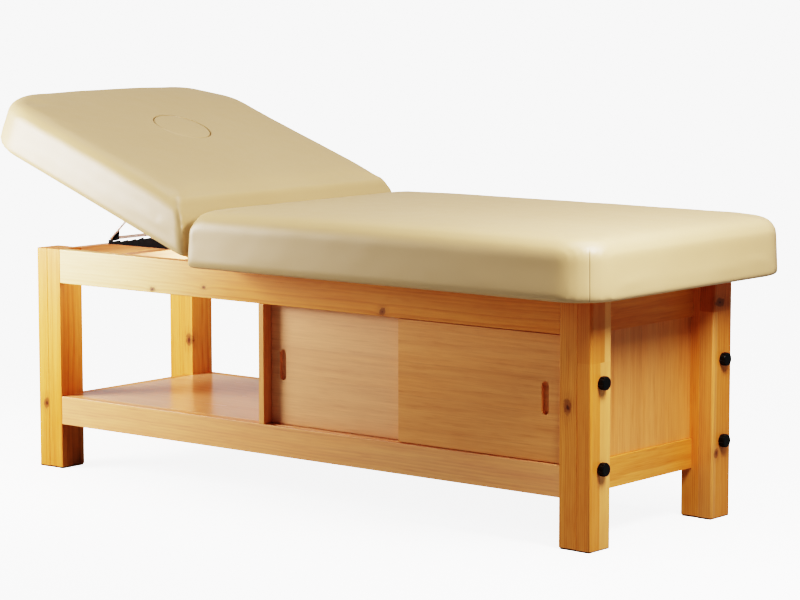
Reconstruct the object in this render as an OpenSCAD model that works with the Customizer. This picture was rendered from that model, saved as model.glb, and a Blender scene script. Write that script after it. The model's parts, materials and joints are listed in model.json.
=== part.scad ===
// Spa bed with a cabinet base: a pine frame on four legs with sliding
// height boards, two sliding doors, and a padded top whose head section
// is held up by a rod bail standing in a pair of toothed racks.
// Lengths are in millimetres. +X is the foot end, -Y the door side, +Z up.

/* [Base frame] */
// Length of the base over the legs
frame_length = 1682; // [1600:2:1800]
// Width of the base over the legs
frame_width = 542; // [500:2:600]
// Height of the rail tops above the floor
frame_height = 545; // [520:1:600]
// Width of a leg across the bed
leg_width = 74; // [64:1:84]
// Thickness of the fixed post of a leg
post_thick = 45; // [38:1:52]
// Thickness of the sliding board of a leg
board_thick = 36.7; // [30:0.1:42]
// Rounding of the outer corners of a leg board
board_round = 6; // [2:1:12]
// How far a leg board slides down
leg_travel = 150; // [100:5:160]
// Thickness of the rubber foot under a post
foot_thick = 3; // [2:0.5:6]

/* [Rails] */
// Thickness of the side rails
rail_thick = 27; // [20:1:32]
// Height of an upper side rail
upper_rail_height = 83; // [75:1:100]
// Height of a lower side rail
lower_rail_height = 70; // [60:1:80]
// Height of the top of the lower side rails above the floor
lower_rail_top = 181; // [160:1:200]
// Thickness of the end rails
end_rail_thick = 27; // [20:1:32]
// Height of an upper end rail
upper_end_height = 88; // [80:1:100]
// Height of a lower end rail
lower_end_height = 67; // [58:1:75]

/* [Cabinet] */
// Thickness of the foot end panel
end_panel_thick = 15; // [9:1:18]
// Set-back of the foot end panel from the end rails
end_panel_recess = 6; // [2:1:8]
// Thickness of the floor board
floor_thick = 16; // [14:1:22]
// Side of the square cleats under the floor board
cleat_side = 20; // [15:1:25]
// Distance from the middle of the base to the door side of the partition
partition_x = 87; // [60:1:140]
// Thickness of the partition
partition_thick = 16; // [12:1:20]
// Thickness of the back panel
back_thick = 9; // [6:1:12]
// Thickness of the cabinet top
cabinet_top_thick = 12; // [9:1:16]

/* [Doors] */
// Thickness of a sliding door
door_thick = 15; // [14:0.5:18]
// Gap above and below a door
door_gap = 2.5; // [1.5:0.5:4]
// Width of the front door, on the right
right_door_width = 446; // [430:1:470]
// Width of the rear door, on the left
left_door_width = 438; // [430:1:470]
// Gap between the two door planes
door_plane_gap = 5.6; // [3:0.1:7]
// Set-back of the front door from the rail face
door_recess = 6; // [4:0.5:7]
// Depth of the finger slots
slot_depth = 9; // [6:0.5:11]
// Height of the finger slots
slot_height = 72; // [60:1:90]
// Width of the finger slots
slot_width = 19; // [18:1:24]

/* [Padded top] */
// Half width of the pads
pad_half_width = 396; // [380:1:420]
// Thickness of the foot pad at its shoulder
pad_thick = 132; // [116:1:140]
// Rise of the foot pad's crown over its shoulder
pad_crown = 11; // [3:1:14]
// Thickness of the head pad at its hinge end
head_thick = 128; // [116:1:136]
// How much thinner the head pad is at its head end
head_taper = 6; // [0:1:10]
// Rise of the head pad's crown over its shoulder
head_crown = 2; // [1:1:6]
// Overhang of the foot pad past the leg boards
foot_overhang = 86; // [70:1:110]
// Distance from the middle of the base to the joint between the pads
joint_x = 220; // [200:1:240]
// Reach of the head pad from the hinge axis
head_reach = 809; // [780:1:830]
// Plan rounding of the foot corners
foot_corner = 98; // [70:1:120]
// Plan rounding of the head corners
head_corner = 158; // [120:1:170]
// Height of the battens under the pads
batten_height = 28; // [24:1:30]
// Thickness of the plywood decks
deck_thick = 12; // [9:1:16]
// Diameter of the breathing hole in the head cushion
face_hole = 146; // [120:1:156]

/* [Head lift] */
// Angle of the head section as shown
head_angle = 20.5; // [19.5:0.1:21]
// Further angle the racks allow
head_extra = 5; // [2:0.5:5]
// Length of the bail from its pivot to its foot
bail_length = 227; // [225.5:0.5:229]
// Diameter of the bail rod
rod_diameter = 8; // [6:0.5:9]
// Pitch of the rack teeth
tooth_pitch = 27; // [20:1:32]

/* [Hidden] */

// Clearances and overruns
over = 1;
slide_gap = 0.3;
part_gap = 0.3;
pin_play = 0.05;

// Base frame, seen from its middle
half_length = frame_length / 2;
half_width = frame_width / 2;
board_in = half_length - board_thick;
post_out = board_in - slide_gap;
post_in = post_out - post_thick;
leg_y_in = half_width - leg_width;
leg_y = half_width - leg_width / 2;
rail_y_in = half_width - rail_thick;
end_rail_out = post_in + end_rail_thick;
foot_inset = 2;
board_chamfer = 3;

// Clamping knobs and their tracks
knob_radius = 15;
knob_proud = 15;
knob_edge = 3;
scallop_radius = 4.2;
scallop_offset = 2.4;
stud_radius = 3;
stud_play = 0.5;
stud_disc_radius = 8;
stud_disc_thick = 4;
knob_upper = 362;
knob_lower = 177;
knob_heights = [knob_upper, knob_lower];
track_width = 24;
track_depth = 10;
track_wall = 2;
track_mouth = 10;
track_end = 15;
track_foot = knob_lower - leg_travel - track_end;
track_head = knob_upper + track_end;

// Cabinet
upper_rail_bottom = frame_height - upper_rail_height;
lower_rail_bottom = lower_rail_top - lower_rail_height;
end_step = 1;
lower_end_top = lower_rail_top - end_step;
upper_end_bottom = frame_height - upper_end_height;
panel_out = end_rail_out - end_panel_recess;
partition_in = -partition_x;
partition_out = partition_in - partition_thick;
back_inset = 9;
back_y = half_width - back_inset - back_thick;
track_batten_thick = 22;
track_batten_height = 22;

// Doors and the grooves that guide them
door_bottom = lower_rail_top + door_gap;
door_top = upper_rail_bottom - door_gap;
front_door_y = -half_width + door_recess;
rear_door_y = front_door_y + door_thick + door_plane_gap;
tongue_thick = 6;
groove_play = 0.5;
groove_depth = 8;
tongue_short = 2;
door_side_gap = 1;
right_door_gap = 2;
right_door_x = post_in - right_door_gap - right_door_width;
left_door_x = partition_in + door_side_gap;
door_round = 2;
slot_level = 321;
slot_inset_left = 26;
slot_inset_right = 31;

// Pads
band_thick = 27;
band_round = 10;
band_height = batten_height + deck_thick;
hinge_corner = 35;
batten_lap = 6;
batten_inner = rail_y_in - batten_lap;
end_batten_width = 45;
hinge_batten_width = 62;
hinge_batten_gap = 8;
end_wrap = 5;
deck_round = foot_corner - band_thick;
head_deck_round = head_corner - band_thick;
flat_foot_x = half_length + foot_overhang;

// Cushion sections: share of the edge width, then share of the side height
edge_width = 52;
head_edge_share = 1.15;
side_draw = 4;
side_shares = [[1, 0], [0.4, 0.12], [0, 0.28]];
edge_steps = 5;
crown_shares = [0.16, 0.38, 0.65, 0.9, 1];
crown_reach_share = 0.93;
side_pull = 3;
least_corner = 6;
corner_steps = 6;
long_steps = 8;
short_steps = 5;

// Head hinge: the axis lies under the foot pad, below the rail tops
axis_inset = 46.4;
base_lift = 9.3;
axis_x = -joint_x + axis_inset;
axis_z = frame_height + part_gap - base_lift;
head_limit = head_angle + head_extra;
knuckle_radius = 5.5;
pin_radius = 3;
leaf_thick = 3;
leaf_drop = 6;
strap_y = 150;
strap_width = 50;
knuckle_length = 12;
strap_rise_at = 62;
strap_end = 150;
strap_hole_radius = 2.5;
leaf_length = 62;
leaf_hole_shares = [0.35, 0.8];
strap_hole_shares = [0.25, 0.75];

// Head lift
rod_radius = rod_diameter / 2;
pivot_reach = 440.5;
pivot_height = 21;
bail_half = 105;
bend_radius = 5;
bail_stub = 17;
foot_lift = 15.3;
foot_z = frame_height + foot_lift;
bracket_gap = 8;
bracket_thick = 3;
bracket_flange = 24;
bracket_half = 16;
bracket_round = 8;
clip_radius = 6;
clip_thick = 2;
rack_y = 94;
rack_thick = 4;
rack_low = 10.4;
rack_rise = 14;
rack_rise_length = 112;
tooth_depth = 4;
tooth_count = 7;
rack_tab = 12;
rack_tail = 20;
rack_flange = 18;
flange_thick = 3;
bearer_width = 28;
bearer_height = 28;
pawl_thick = 3;
pawl_gap = 0.8;
pawl_back = 6;
pawl_length = 31;
pawl_corner = 15;
pawl_deep = 16.5;
pawl_low = 4.6;
pawl_end = 1.5;

// Breathing hole and its plug
hole_reach = 505;
hole_radius = face_hole / 2;
plug_play = 1;
plug_board_radius = 49;
deck_hole_radius = 50;
plug_board_thick = 10;
plug_edge = 12;

// The far corner of the head pad sets the place of the origin
tip_reach = head_reach - band_round;
tip_height = base_lift + band_round;
head_tip_x = axis_x - tip_reach * cos(head_angle) + tip_height * sin(head_angle) - band_round;
origin_shift = -(head_tip_x + flat_foot_x) / 2;

// Rod pivot and foot as shown, seen from the middle of the base
pivot_x = axis_x - pivot_reach * cos(head_angle) + pivot_height * sin(head_angle);
pivot_z = axis_z + pivot_reach * sin(head_angle) + pivot_height * cos(head_angle);
bail_slope = asin((pivot_z - foot_z) / bail_length);
foot_x = pivot_x - bail_length * cos(bail_slope);

// Colours for the viewer
pine = "burlywood";
ply = "tan";
vinyl = "cornsilk";
steel = "silver";
black = "dimgray";

$fn = 48;

// Placing: the whole object stands with the middle of its box over the origin
module at_origin() {
    translate([origin_shift, 0, 0])
        children();
}

// Head parts are drawn flat from the hinge axis, then raised
module in_head() {
    translate([axis_x, 0, axis_z])
        rotate([0, head_angle, 0])
            children();
}

// Head parts drawn with their reach along +X point to the head end
module head_along() {
    in_head()
        mirror([1, 0, 0])
            translate([0, 0, base_lift])
                children();
}

// Legs are told apart by the signs of their end and side
module at_leg(end, side) {
    scale([end, side, 1])
        children();
}

module box(low, high) {
    translate(low)
        cube(high - low);
}

// A leg board: outer corners rounded, foot chamfered
module board_outline() {
    translate([board_in, leg_y_in])
        square([board_thick - board_round, leg_width]);
    translate([board_in, leg_y_in + board_round])
        square([board_thick, leg_width - 2 * board_round]);
    for (y = [leg_y_in + board_round, half_width - board_round])
        translate([half_length - board_round, y])
            circle(board_round);
}

module stud_bore(radius, from, to) {
    for (height = knob_heights)
        translate([from, leg_y, height])
            rotate([0, 90, 0])
                cylinder(r = radius, h = to - from);
}

module leg_board(end, side) {
    at_leg(end, side)
        difference() {
            linear_extrude(frame_height)
                board_outline();
            stud_bore(stud_radius + stud_play, board_in - over, half_length + over);
            foot_cut();
        }
}

// Slanted cut along the outer foot edge of a leg board
module foot_cut() {
    translate([0, half_width + over, 0])
        rotate([90, 0, 0])
            linear_extrude(leg_width + 2 * over)
                polygon([
                    [half_length - board_chamfer, -over],
                    [half_length - board_chamfer, 0],
                    [half_length, board_chamfer],
                    [half_length + over, board_chamfer],
                    [half_length + over, -over]
                ]);
}

module post(end, side) {
    at_leg(end, side)
        difference() {
            box([post_in, leg_y_in, foot_thick], [post_out, half_width, frame_height]);
            box([post_out - track_depth, leg_y - track_width / 2, track_foot],
                [post_out + over, leg_y + track_width / 2, track_head]);
        }
}

module track() {
    difference() {
        box([post_out - track_depth, leg_y - track_width / 2, track_foot],
            [post_out, leg_y + track_width / 2, track_head]);
        box([post_out - track_depth + track_wall, leg_y - track_width / 2 + track_wall, track_foot - over],
            [post_out - track_wall, leg_y + track_width / 2 - track_wall, track_head + over]);
        box([post_out - track_wall - over, leg_y - track_mouth / 2, track_foot - over],
            [post_out + over, leg_y + track_mouth / 2, track_head + over]);
    }
}

module knob_section() {
    square([knob_radius - knob_edge, knob_proud]);
    translate([0, knob_edge])
        square([knob_radius, knob_proud - 2 * knob_edge]);
    for (z = [knob_edge, knob_proud - knob_edge])
        translate([knob_radius - knob_edge, z])
            circle(knob_edge);
}

// A clamping knob, its stud and the round head that rides in the track
module knob(end, side, height) {
    disc_from = post_out - track_wall - slide_gap - stud_disc_thick - part_gap;
    at_leg(end, side)
        translate([half_length + part_gap, leg_y, height])
            rotate([0, 90, 0]) {
                difference() {
                    rotate_extrude()
                        knob_section();
                    for (turn = [0:45:315])
                        rotate([0, 0, turn])
                            translate([knob_radius + scallop_offset, 0, -over])
                                cylinder(r = scallop_radius, h = knob_proud + 2 * over);
                }
                translate([0, 0, disc_from - half_length - part_gap])
                    cylinder(r = stud_radius, h = half_length - disc_from + 2 * part_gap);
                translate([0, 0, disc_from - half_length - part_gap])
                    cylinder(r = stud_disc_radius, h = stud_disc_thick);
            }
}

// Rails
module upper_rail(side) {
    scale([1, side, 1])
        difference() {
            box([-post_in, rail_y_in, upper_rail_bottom], [post_in, half_width, frame_height]);
            if (side < 0)
                door_groove(-front_door_y - door_thick / 2, upper_rail_bottom, 1);
        }
}

module lower_rail(side) {
    scale([1, side, 1])
        difference() {
            box([-post_in, rail_y_in, lower_rail_bottom], [post_in, half_width, lower_rail_top]);
            if (side < 0)
                door_groove(-front_door_y - door_thick / 2, lower_rail_top, -1);
        }
}

// A groove cut up or down from a face, over the width of the cabinet
module door_groove(y, level, up) {
    wide = tongue_thick / 2 + groove_play;
    bottom = up > 0 ? level - over : level - groove_depth;
    top = up > 0 ? level + groove_depth : level + over;
    box([partition_in, y - wide, bottom], [post_in + over, y + wide, top]);
}

module end_rail(end, bottom, top) {
    scale([end, 1, 1])
        box([post_in, -leg_y_in, bottom], [end_rail_out, leg_y_in, top]);
}

// Doors
module door(x, y, width, slot_x) {
    difference() {
        union() {
            box([x, y, door_bottom], [x + width, y + door_thick, door_top]);
            box([x, y + (door_thick - tongue_thick) / 2, lower_rail_top - groove_depth + part_gap],
                [x + width, y + (door_thick + tongue_thick) / 2, upper_rail_bottom + groove_depth - tongue_short]);
        }
        finger_slot(slot_x, y);
    }
}

module finger_slot(x, y) {
    straight = slot_height - slot_width;
    translate([x, y + slot_depth, slot_level - straight / 2])
        rotate([90, 0, 0])
            linear_extrude(slot_depth + over) {
                translate([-slot_width / 2, 0])
                    square([slot_width, straight]);
                circle(d = slot_width);
                translate([0, straight])
                    circle(d = slot_width);
            }
}

// Outline of a deck: square at the hinge, rounded at the far end
module deck_outline(from, to, half, round_far) {
    translate([from, -half])
        square([to - from - round_far, 2 * half]);
    translate([from, -half + round_far])
        square([to - from, 2 * (half - round_far)]);
    for (y = [-half + round_far, half - round_far])
        translate([to - round_far, y])
            circle(round_far, $fn = 96);
}

// One long batten, with the rounded corner of the deck over it
module side_batten(side, from, to, round_far) {
    half = pad_half_width - band_thick;
    intersection() {
        linear_extrude(batten_height)
            deck_outline(from, to, half, round_far);
        scale([1, side, 1])
            box([from - over, batten_inner, -over], [to + over, half + over, batten_height + over]);
    }
}

module cross_batten(from, to) {
    box([from, -batten_inner, 0], [to, batten_inner, batten_height]);
}

// The batten across the far end, within the rounded corners of the deck
module far_batten(to, round_far) {
    intersection() {
        cross_batten(to - end_batten_width, to);
        translate([0, 0, -over])
            linear_extrude(batten_height + 2 * over)
                deck_outline(0, to, pad_half_width - band_thick, round_far);
    }
}

// The padded edge that wraps the battens and the deck, rounded below
module band_section() {
    intersection() {
        square([band_thick, band_height]);
        union() {
            square([band_thick - band_round, band_height]);
            translate([0, band_round])
                square([band_thick, band_height - band_round]);
            translate([band_thick - band_round, band_round])
                circle(band_round, $fn = 96);
        }
    }
}

module band(from, to, round_far) {
    half = pad_half_width;
    for (side = [-1, 1])
        scale([1, side, 1]) {
            translate([from, half - band_thick, 0])
                rotate([90, 0, 90])
                    linear_extrude(to - from - round_far)
                        band_section();
            translate([to - round_far, half - round_far, 0])
                rotate_extrude(angle = 90, $fn = 96)
                    translate([round_far - band_thick, 0])
                        band_section();
        }
    translate([to - band_thick, half - round_far, 0])
        rotate([90, 0, 0])
            linear_extrude(2 * (half - round_far))
                band_section();
}

// Cushion rings: an outline of rounded corners and slightly drawn sides
function corner_points(x, y, r, start) = [
    for (i = [0:corner_steps])
        [x + r * cos(start + 90 * i / corner_steps), y + r * sin(start + 90 * i / corner_steps)]
];

function side_points(a, b, steps, pull) = [
    for (i = [1:steps])
        let (t = i / (steps + 1))
            [a[0] + (b[0] - a[0]) * t + pull[0] * sin(180 * t), a[1] + (b[1] - a[1]) * t + pull[1] * sin(180 * t)]
];

function ring(x0, x1, half, near, far, draw) =
    let (
        c1 = corner_points(x1 - far, half - far, far, 0),
        c2 = corner_points(x0 + near, half - near, near, 90),
        c3 = corner_points(x0 + near, -half + near, near, 180),
        c4 = corner_points(x1 - far, -half + far, far, 270)
    )
    concat(
        c1, side_points(c1[corner_steps], c2[0], long_steps, [0, -draw]),
        c2, side_points(c2[corner_steps], c3[0], short_steps, [0, 0]),
        c3, side_points(c3[corner_steps], c4[0], long_steps, [0, draw]),
        c4, side_points(c4[corner_steps], c1[0], short_steps, [-draw, 0])
    );

// A cushion from its bottom height up: levels are [inset, height, draw]
function cushion_levels(bottom, side_top, top, crown, reach) = concat(
    [for (s = side_shares) [side_draw * s[0], bottom + (side_top - bottom) * s[1] / side_shares[2][1] * 0.5, 1]],
    [for (i = [0:edge_steps])
        let (a = 90 * i / edge_steps)
            [edge_width * (1 - cos(a)), side_top + (top - side_top) * sin(a), 1]],
    [for (c = crown_shares)
        [edge_width + (reach - edge_width) * c, top + crown * (1 - pow(1 - c, 2)), 1 - c]]
);

// How far the top of a tapered pad has come down at a place along it
function sunk(x, level, from, to, thick, taper) =
    taper * max(0, min(1, (x - from) / (to - from))) * max(0, level - band_height) / (thick - band_height);

module cushion(face_low, face_slope, to, far, thick, crown, taper, far_share) {
    half = pad_half_width;
    side_top = thick - edge_width;
    face_top = face_low + face_slope * thick;
    reach = crown_reach_share * min(half, (to - face_top) / (1 + far_share));
    levels = cushion_levels(band_height, side_top, thick, crown, reach);
    rings = [for (l = levels)
        let (x0 = face_low + face_slope * l[1] + l[0])
            [for (p = ring(x0, to - l[0] * far_share, half - l[0], max(hinge_corner - l[0], least_corner),
                max(far - l[0], least_corner), side_pull * l[2]))
                [p[0], p[1], l[1] - sunk(p[0], l[1], face_top, to, thick, taper)]]];
    count = len(rings[0]);
    last = len(rings) - 1;
    middle = (rings[last][0][0] + rings[last][count / 2][0]) / 2;
    peak = levels[last][1] - sunk(middle, levels[last][1], face_top, to, thick, taper);
    points = concat([for (r = rings) for (p = r) p], [[middle, 0, levels[0][1]], [middle, 0, peak]]);
    low = count * (last + 1);
    polyhedron(points, concat(
        [for (k = [0:last - 1]) for (i = [0:count - 1])
            [k * count + i, (k + 1) * count + (i + 1) % count, k * count + (i + 1) % count]],
        [for (k = [0:last - 1]) for (i = [0:count - 1])
            [k * count + i, (k + 1) * count + i, (k + 1) * count + (i + 1) % count]],
        [for (i = [0:count - 1]) [low, i, (i + 1) % count]],
        [for (i = [0:count - 1]) [low + 1, last * count + (i + 1) % count, last * count + i]]
    ));
}

// The head section's hinge face leans back so that the pads clear each other
function face_reach(height) =
    ((base_lift + height) * sin(head_limit) + axis_inset + part_gap) / cos(head_limit);

module lean_cut(back) {
    translate([back, pad_half_width + over, 0])
        rotate([90, 0, 0])
            linear_extrude(2 * (pad_half_width + over))
                polygon([
                    [-back, -over],
                    [face_reach(-over), -over],
                    [face_reach(head_thick), head_thick],
                    [-back, head_thick]
                ]);
}

// Foot pad parts, drawn from the joint between the pads
module flat_along() {
    translate([-joint_x, 0, frame_height])
        children();
}

flat_length = flat_foot_x + joint_x;
flat_inner = flat_length - band_thick;
head_inner = head_reach - band_thick;

// Hinge: leaves under the foot pad carry the pins, straps carry the head
module hinge_leaf(side) {
    scale([1, side, 1])
        translate([axis_x, strap_y, axis_z]) {
            difference() {
                box([0, -strap_width / 2, base_lift - part_gap - leaf_thick],
                    [leaf_length + hinge_batten_gap, strap_width / 2, base_lift - part_gap]);
                for (s = leaf_hole_shares)
                    translate([leaf_length * s + hinge_batten_gap, 0, base_lift - part_gap - leaf_thick - over])
                        cylinder(r = strap_hole_radius, h = leaf_thick + 2 * over);
            }
            for (end = [-1, 1])
                scale([1, end, 1]) {
                    translate([0, strap_width / 2, 0])
                        rotate([90, 0, 0])
                            cylinder(r = knuckle_radius, h = knuckle_length);
                    box([0, strap_width / 2 - knuckle_length, 0],
                        [knuckle_radius, strap_width / 2, base_lift - part_gap]);
                }
            translate([0, strap_width / 2, 0])
                rotate([90, 0, 0])
                    cylinder(r = pin_radius, h = strap_width);
        }
}

module hinge_strap(side) {
    half = strap_width / 2 - knuckle_length - part_gap;
    mirror([1, 0, 0])
        scale([1, side, 1])
            translate([0, strap_y, 0])
                difference() {
                    union() {
                        translate([0, half, 0])
                            rotate([90, 0, 0])
                                cylinder(r = knuckle_radius, h = 2 * half);
                        translate([0, half, 0])
                            rotate([90, 0, 0])
                                linear_extrude(2 * half)
                                    polygon([
                                        [0, -leaf_thick / 2],
                                        [strap_rise_at + leaf_thick, -leaf_thick / 2],
                                        [strap_rise_at + leaf_thick, base_lift - leaf_thick],
                                        [strap_end, base_lift - leaf_thick],
                                        [strap_end, base_lift],
                                        [strap_rise_at, base_lift],
                                        [strap_rise_at, leaf_thick / 2],
                                        [0, leaf_thick / 2]
                                    ]);
                    }
                    translate([0, half + over, 0])
                        rotate([90, 0, 0])
                            cylinder(r = pin_radius + pin_play, h = 2 * (half + over));
                    for (s = strap_hole_shares)
                        translate([strap_rise_at + (strap_end - strap_rise_at) * s, 0, base_lift - leaf_thick - over])
                            cylinder(r = strap_hole_radius, h = leaf_thick + 2 * over);
                }
}

// Racks: saw teeth whose crests rise away from the first seat
function crest(x) =
    let (u = min(1, (x - foot_x + rod_radius + part_gap) / rack_rise_length))
        frame_height + rack_low + rack_rise * u * u;

function tooth_x(i) = foot_x - rod_radius - part_gap + i * tooth_pitch;

module rack(side) {
    end_x = tooth_x(tooth_count);
    rail_x = -post_in;
    scale([1, side, 1]) {
        translate([0, rack_y + rack_thick / 2, 0])
            rotate([90, 0, 0])
                linear_extrude(rack_thick)
                    polygon(concat(
                        [[tooth_x(0) - rack_tab, frame_height], [tooth_x(0) - rack_tab, crest(foot_x) - part_gap]],
                        [for (i = [0:tooth_count - 1]) for (k = [0, 1])
                            [tooth_x(i), crest(tooth_x(i)) - tooth_depth * k]],
                        [[end_x, crest(end_x)], [end_x + rack_tail, crest(end_x)],
                         [end_x + rack_tail, frame_height]]
                    ));
        box([tooth_x(0) - rack_tab, rack_y - rack_flange, frame_height],
            [rail_x, rack_y, frame_height + flange_thick]);
        box([end_x - bearer_width + rack_tail, rack_y - rack_flange, frame_height],
            [end_x + rack_tail, rack_y, frame_height + flange_thick]);
    }
}

// The bail: a U of round rod with short stubs that turn in the brackets
module rod_bend(from) {
    rotate([0, 0, from])
        rotate_extrude(angle = 90)
            translate([bend_radius, 0])
                circle(rod_radius);
}

module bail_rod() {
    straight = bail_half - bend_radius;
    translate([foot_x, 0, foot_z])
        rotate([0, -bail_slope, 0]) {
            translate([0, straight, 0])
                rotate([90, 0, 0])
                    cylinder(r = rod_radius, h = 2 * straight);
            for (side = [-1, 1])
                scale([1, side, 1]) {
                    translate([bend_radius, straight, 0])
                        rod_bend(90);
                    translate([bend_radius, bail_half, 0])
                        rotate([0, 90, 0])
                            cylinder(r = rod_radius, h = bail_length - 2 * bend_radius);
                    translate([bail_length - bend_radius, bail_half + bend_radius, 0])
                        rod_bend(270);
                    translate([bail_length, bail_half + bail_stub, 0])
                        rotate([90, 0, 0])
                            cylinder(r = rod_radius, h = bail_stub - bend_radius);
                    translate([bail_length, bail_half + bail_stub + clip_thick, 0])
                        rotate([90, 0, 0])
                            cylinder(r = clip_radius, h = clip_thick);
                }
        }
}

module bracket(side) {
    lug_y = bail_half + bracket_gap;
    deck_low = base_lift + batten_height;
    mirror([1, 0, 0])
        scale([1, side, 1])
            difference() {
                union() {
                    translate([pivot_reach, lug_y + bracket_thick, pivot_height])
                        rotate([90, 0, 0])
                            linear_extrude(bracket_thick) {
                                circle(bracket_round);
                                translate([-bracket_round, 0])
                                    square([2 * bracket_round, deck_low - pivot_height]);
                            }
                    box([pivot_reach - bracket_half, lug_y, deck_low - bracket_thick],
                        [pivot_reach + bracket_half, lug_y + bracket_flange, deck_low]);
                }
                translate([pivot_reach, lug_y + bracket_thick + over, pivot_height])
                    rotate([90, 0, 0])
                        cylinder(r = rod_radius + pin_play, h = bracket_thick + 2 * over);
            }
}

// Pawl plates on the foot of the bail, drawn along its leg
module pawl(side) {
    near = rack_y + rack_thick / 2 + pawl_gap;
    scale([1, side, 1])
        translate([foot_x, near + pawl_thick, foot_z])
            rotate([0, -bail_slope, 0])
                rotate([90, 0, 0])
                    linear_extrude(pawl_thick)
                        difference() {
                            polygon([
                                [-pawl_back, pawl_low], [-pawl_back, -pawl_low],
                                [pawl_corner, -pawl_deep], [pawl_length, -pawl_end],
                                [pawl_length, pawl_low]
                            ]);
                            circle(rod_radius);
                        }
}

// Posts, boards, feet and knobs
module post_head_front() { color(pine) at_origin() post(-1, -1); }
module post_head_back() { color(pine) at_origin() post(-1, 1); }
module post_foot_front() { color(pine) at_origin() post(1, -1); }
module post_foot_back() { color(pine) at_origin() post(1, 1); }

module post_feet() {
    color(black)
        at_origin()
            for (end = [-1, 1])
                for (side = [-1, 1])
                    at_leg(end, side)
                        box([post_in + foot_inset, leg_y_in + foot_inset, 0],
                            [post_out - foot_inset, half_width - foot_inset, foot_thick]);
}

module leg_tracks() {
    color(steel)
        at_origin()
            for (end = [-1, 1])
                for (side = [-1, 1])
                    at_leg(end, side)
                        track();
}

module leg_board_head_front() { color(pine) at_origin() leg_board(-1, -1); }
module leg_board_head_back() { color(pine) at_origin() leg_board(-1, 1); }
module leg_board_foot_front() { color(pine) at_origin() leg_board(1, -1); }
module leg_board_foot_back() { color(pine) at_origin() leg_board(1, 1); }

module knob_head_front_upper() { color(black) at_origin() knob(-1, -1, knob_heights[0]); }
module knob_head_front_lower() { color(black) at_origin() knob(-1, -1, knob_heights[1]); }
module knob_head_back_upper() { color(black) at_origin() knob(-1, 1, knob_heights[0]); }
module knob_head_back_lower() { color(black) at_origin() knob(-1, 1, knob_heights[1]); }
module knob_foot_front_upper() { color(black) at_origin() knob(1, -1, knob_heights[0]); }
module knob_foot_front_lower() { color(black) at_origin() knob(1, -1, knob_heights[1]); }
module knob_foot_back_upper() { color(black) at_origin() knob(1, 1, knob_heights[0]); }
module knob_foot_back_lower() { color(black) at_origin() knob(1, 1, knob_heights[1]); }

// Rails and cabinet
module rail_upper_front() { color(pine) at_origin() upper_rail(-1); }
module rail_upper_back() { color(pine) at_origin() upper_rail(1); }
module rail_lower_front() { color(pine) at_origin() lower_rail(-1); }
module rail_lower_back() { color(pine) at_origin() lower_rail(1); }
module end_rail_upper_head() { color(pine) at_origin() end_rail(-1, upper_end_bottom, frame_height); }
module end_rail_upper_foot() { color(pine) at_origin() end_rail(1, upper_end_bottom, frame_height); }
module end_rail_lower_head() { color(pine) at_origin() end_rail(-1, lower_end_top - lower_end_height, lower_end_top); }
module end_rail_lower_foot() { color(pine) at_origin() end_rail(1, lower_end_top - lower_end_height, lower_end_top); }

module end_panel() {
    color(pine)
        at_origin()
            box([panel_out - end_panel_thick, -leg_y_in, lower_end_top],
                [panel_out, leg_y_in, upper_end_bottom]);
}

module floor_board() {
    color(pine)
        at_origin()
            difference() {
                box([-post_in, -rail_y_in, lower_rail_top - floor_thick], [post_in, rail_y_in, lower_rail_top]);
                door_groove(rear_door_y + door_thick / 2, lower_rail_top, -1);
            }
}

module floor_cleats() {
    color(pine)
        at_origin()
            for (side = [-1, 1])
                scale([1, side, 1])
                    box([-post_in, rail_y_in - cleat_side, lower_rail_top - floor_thick - cleat_side],
                        [post_in, rail_y_in, lower_rail_top - floor_thick]);
}

module partition() {
    color(pine)
        at_origin()
            box([partition_out, -half_width, lower_rail_top], [partition_in, half_width, upper_rail_bottom]);
}

module back_panel() {
    color(ply)
        at_origin()
            box([partition_in, back_y, lower_rail_top], [post_in, back_y + back_thick, upper_rail_bottom]);
}

module cabinet_top() {
    color(ply)
        at_origin()
            box([partition_out, -rail_y_in + track_batten_thick, upper_rail_bottom],
                [post_in, rail_y_in, upper_rail_bottom + cabinet_top_thick]);
}

module door_track() {
    color(pine)
        at_origin()
            difference() {
                box([partition_out, -rail_y_in, upper_rail_bottom],
                    [post_in, -rail_y_in + track_batten_thick, upper_rail_bottom + track_batten_height]);
                door_groove(rear_door_y + door_thick / 2, upper_rail_bottom, 1);
            }
}

module door_left() {
    color(pine)
        at_origin()
            door(left_door_x, rear_door_y, left_door_width, left_door_x + slot_inset_left + slot_width / 2);
}

module door_right() {
    color(pine)
        at_origin()
            door(right_door_x, front_door_y, right_door_width,
                right_door_x + right_door_width - slot_inset_right - slot_width / 2);
}

// Foot pad
module flat_batten_front() {
    color(pine) at_origin() flat_along() side_batten(-1, end_wrap, flat_inner, deck_round);
}

module flat_batten_back() {
    color(pine) at_origin() flat_along() side_batten(1, end_wrap, flat_inner, deck_round);
}

module flat_batten_foot() {
    color(pine) at_origin() flat_along() far_batten(flat_inner, deck_round);
}

module flat_batten_hinge() {
    color(pine)
        at_origin()
            flat_along()
                cross_batten(axis_inset + hinge_batten_gap, axis_inset + hinge_batten_gap + hinge_batten_width);
}

module flat_deck() {
    color(ply)
        at_origin()
            flat_along()
                translate([0, 0, batten_height])
                    linear_extrude(deck_thick)
                        deck_outline(end_wrap, flat_inner, pad_half_width - band_thick, deck_round);
}

module flat_cushion() {
    color(vinyl)
        at_origin()
            flat_along()
                cushion(0, 0, flat_length, foot_corner, pad_thick, pad_crown, 0, 1);
}

module flat_band() {
    color(vinyl) at_origin() flat_along() band(0, flat_length, foot_corner);
}

// Head pad
module head_batten_front() {
    color(pine)
        at_origin()
            head_along()
                difference() {
                    side_batten(-1, axis_inset, head_inner, head_deck_round);
                    lean_cut(end_wrap);
                }
}

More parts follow.
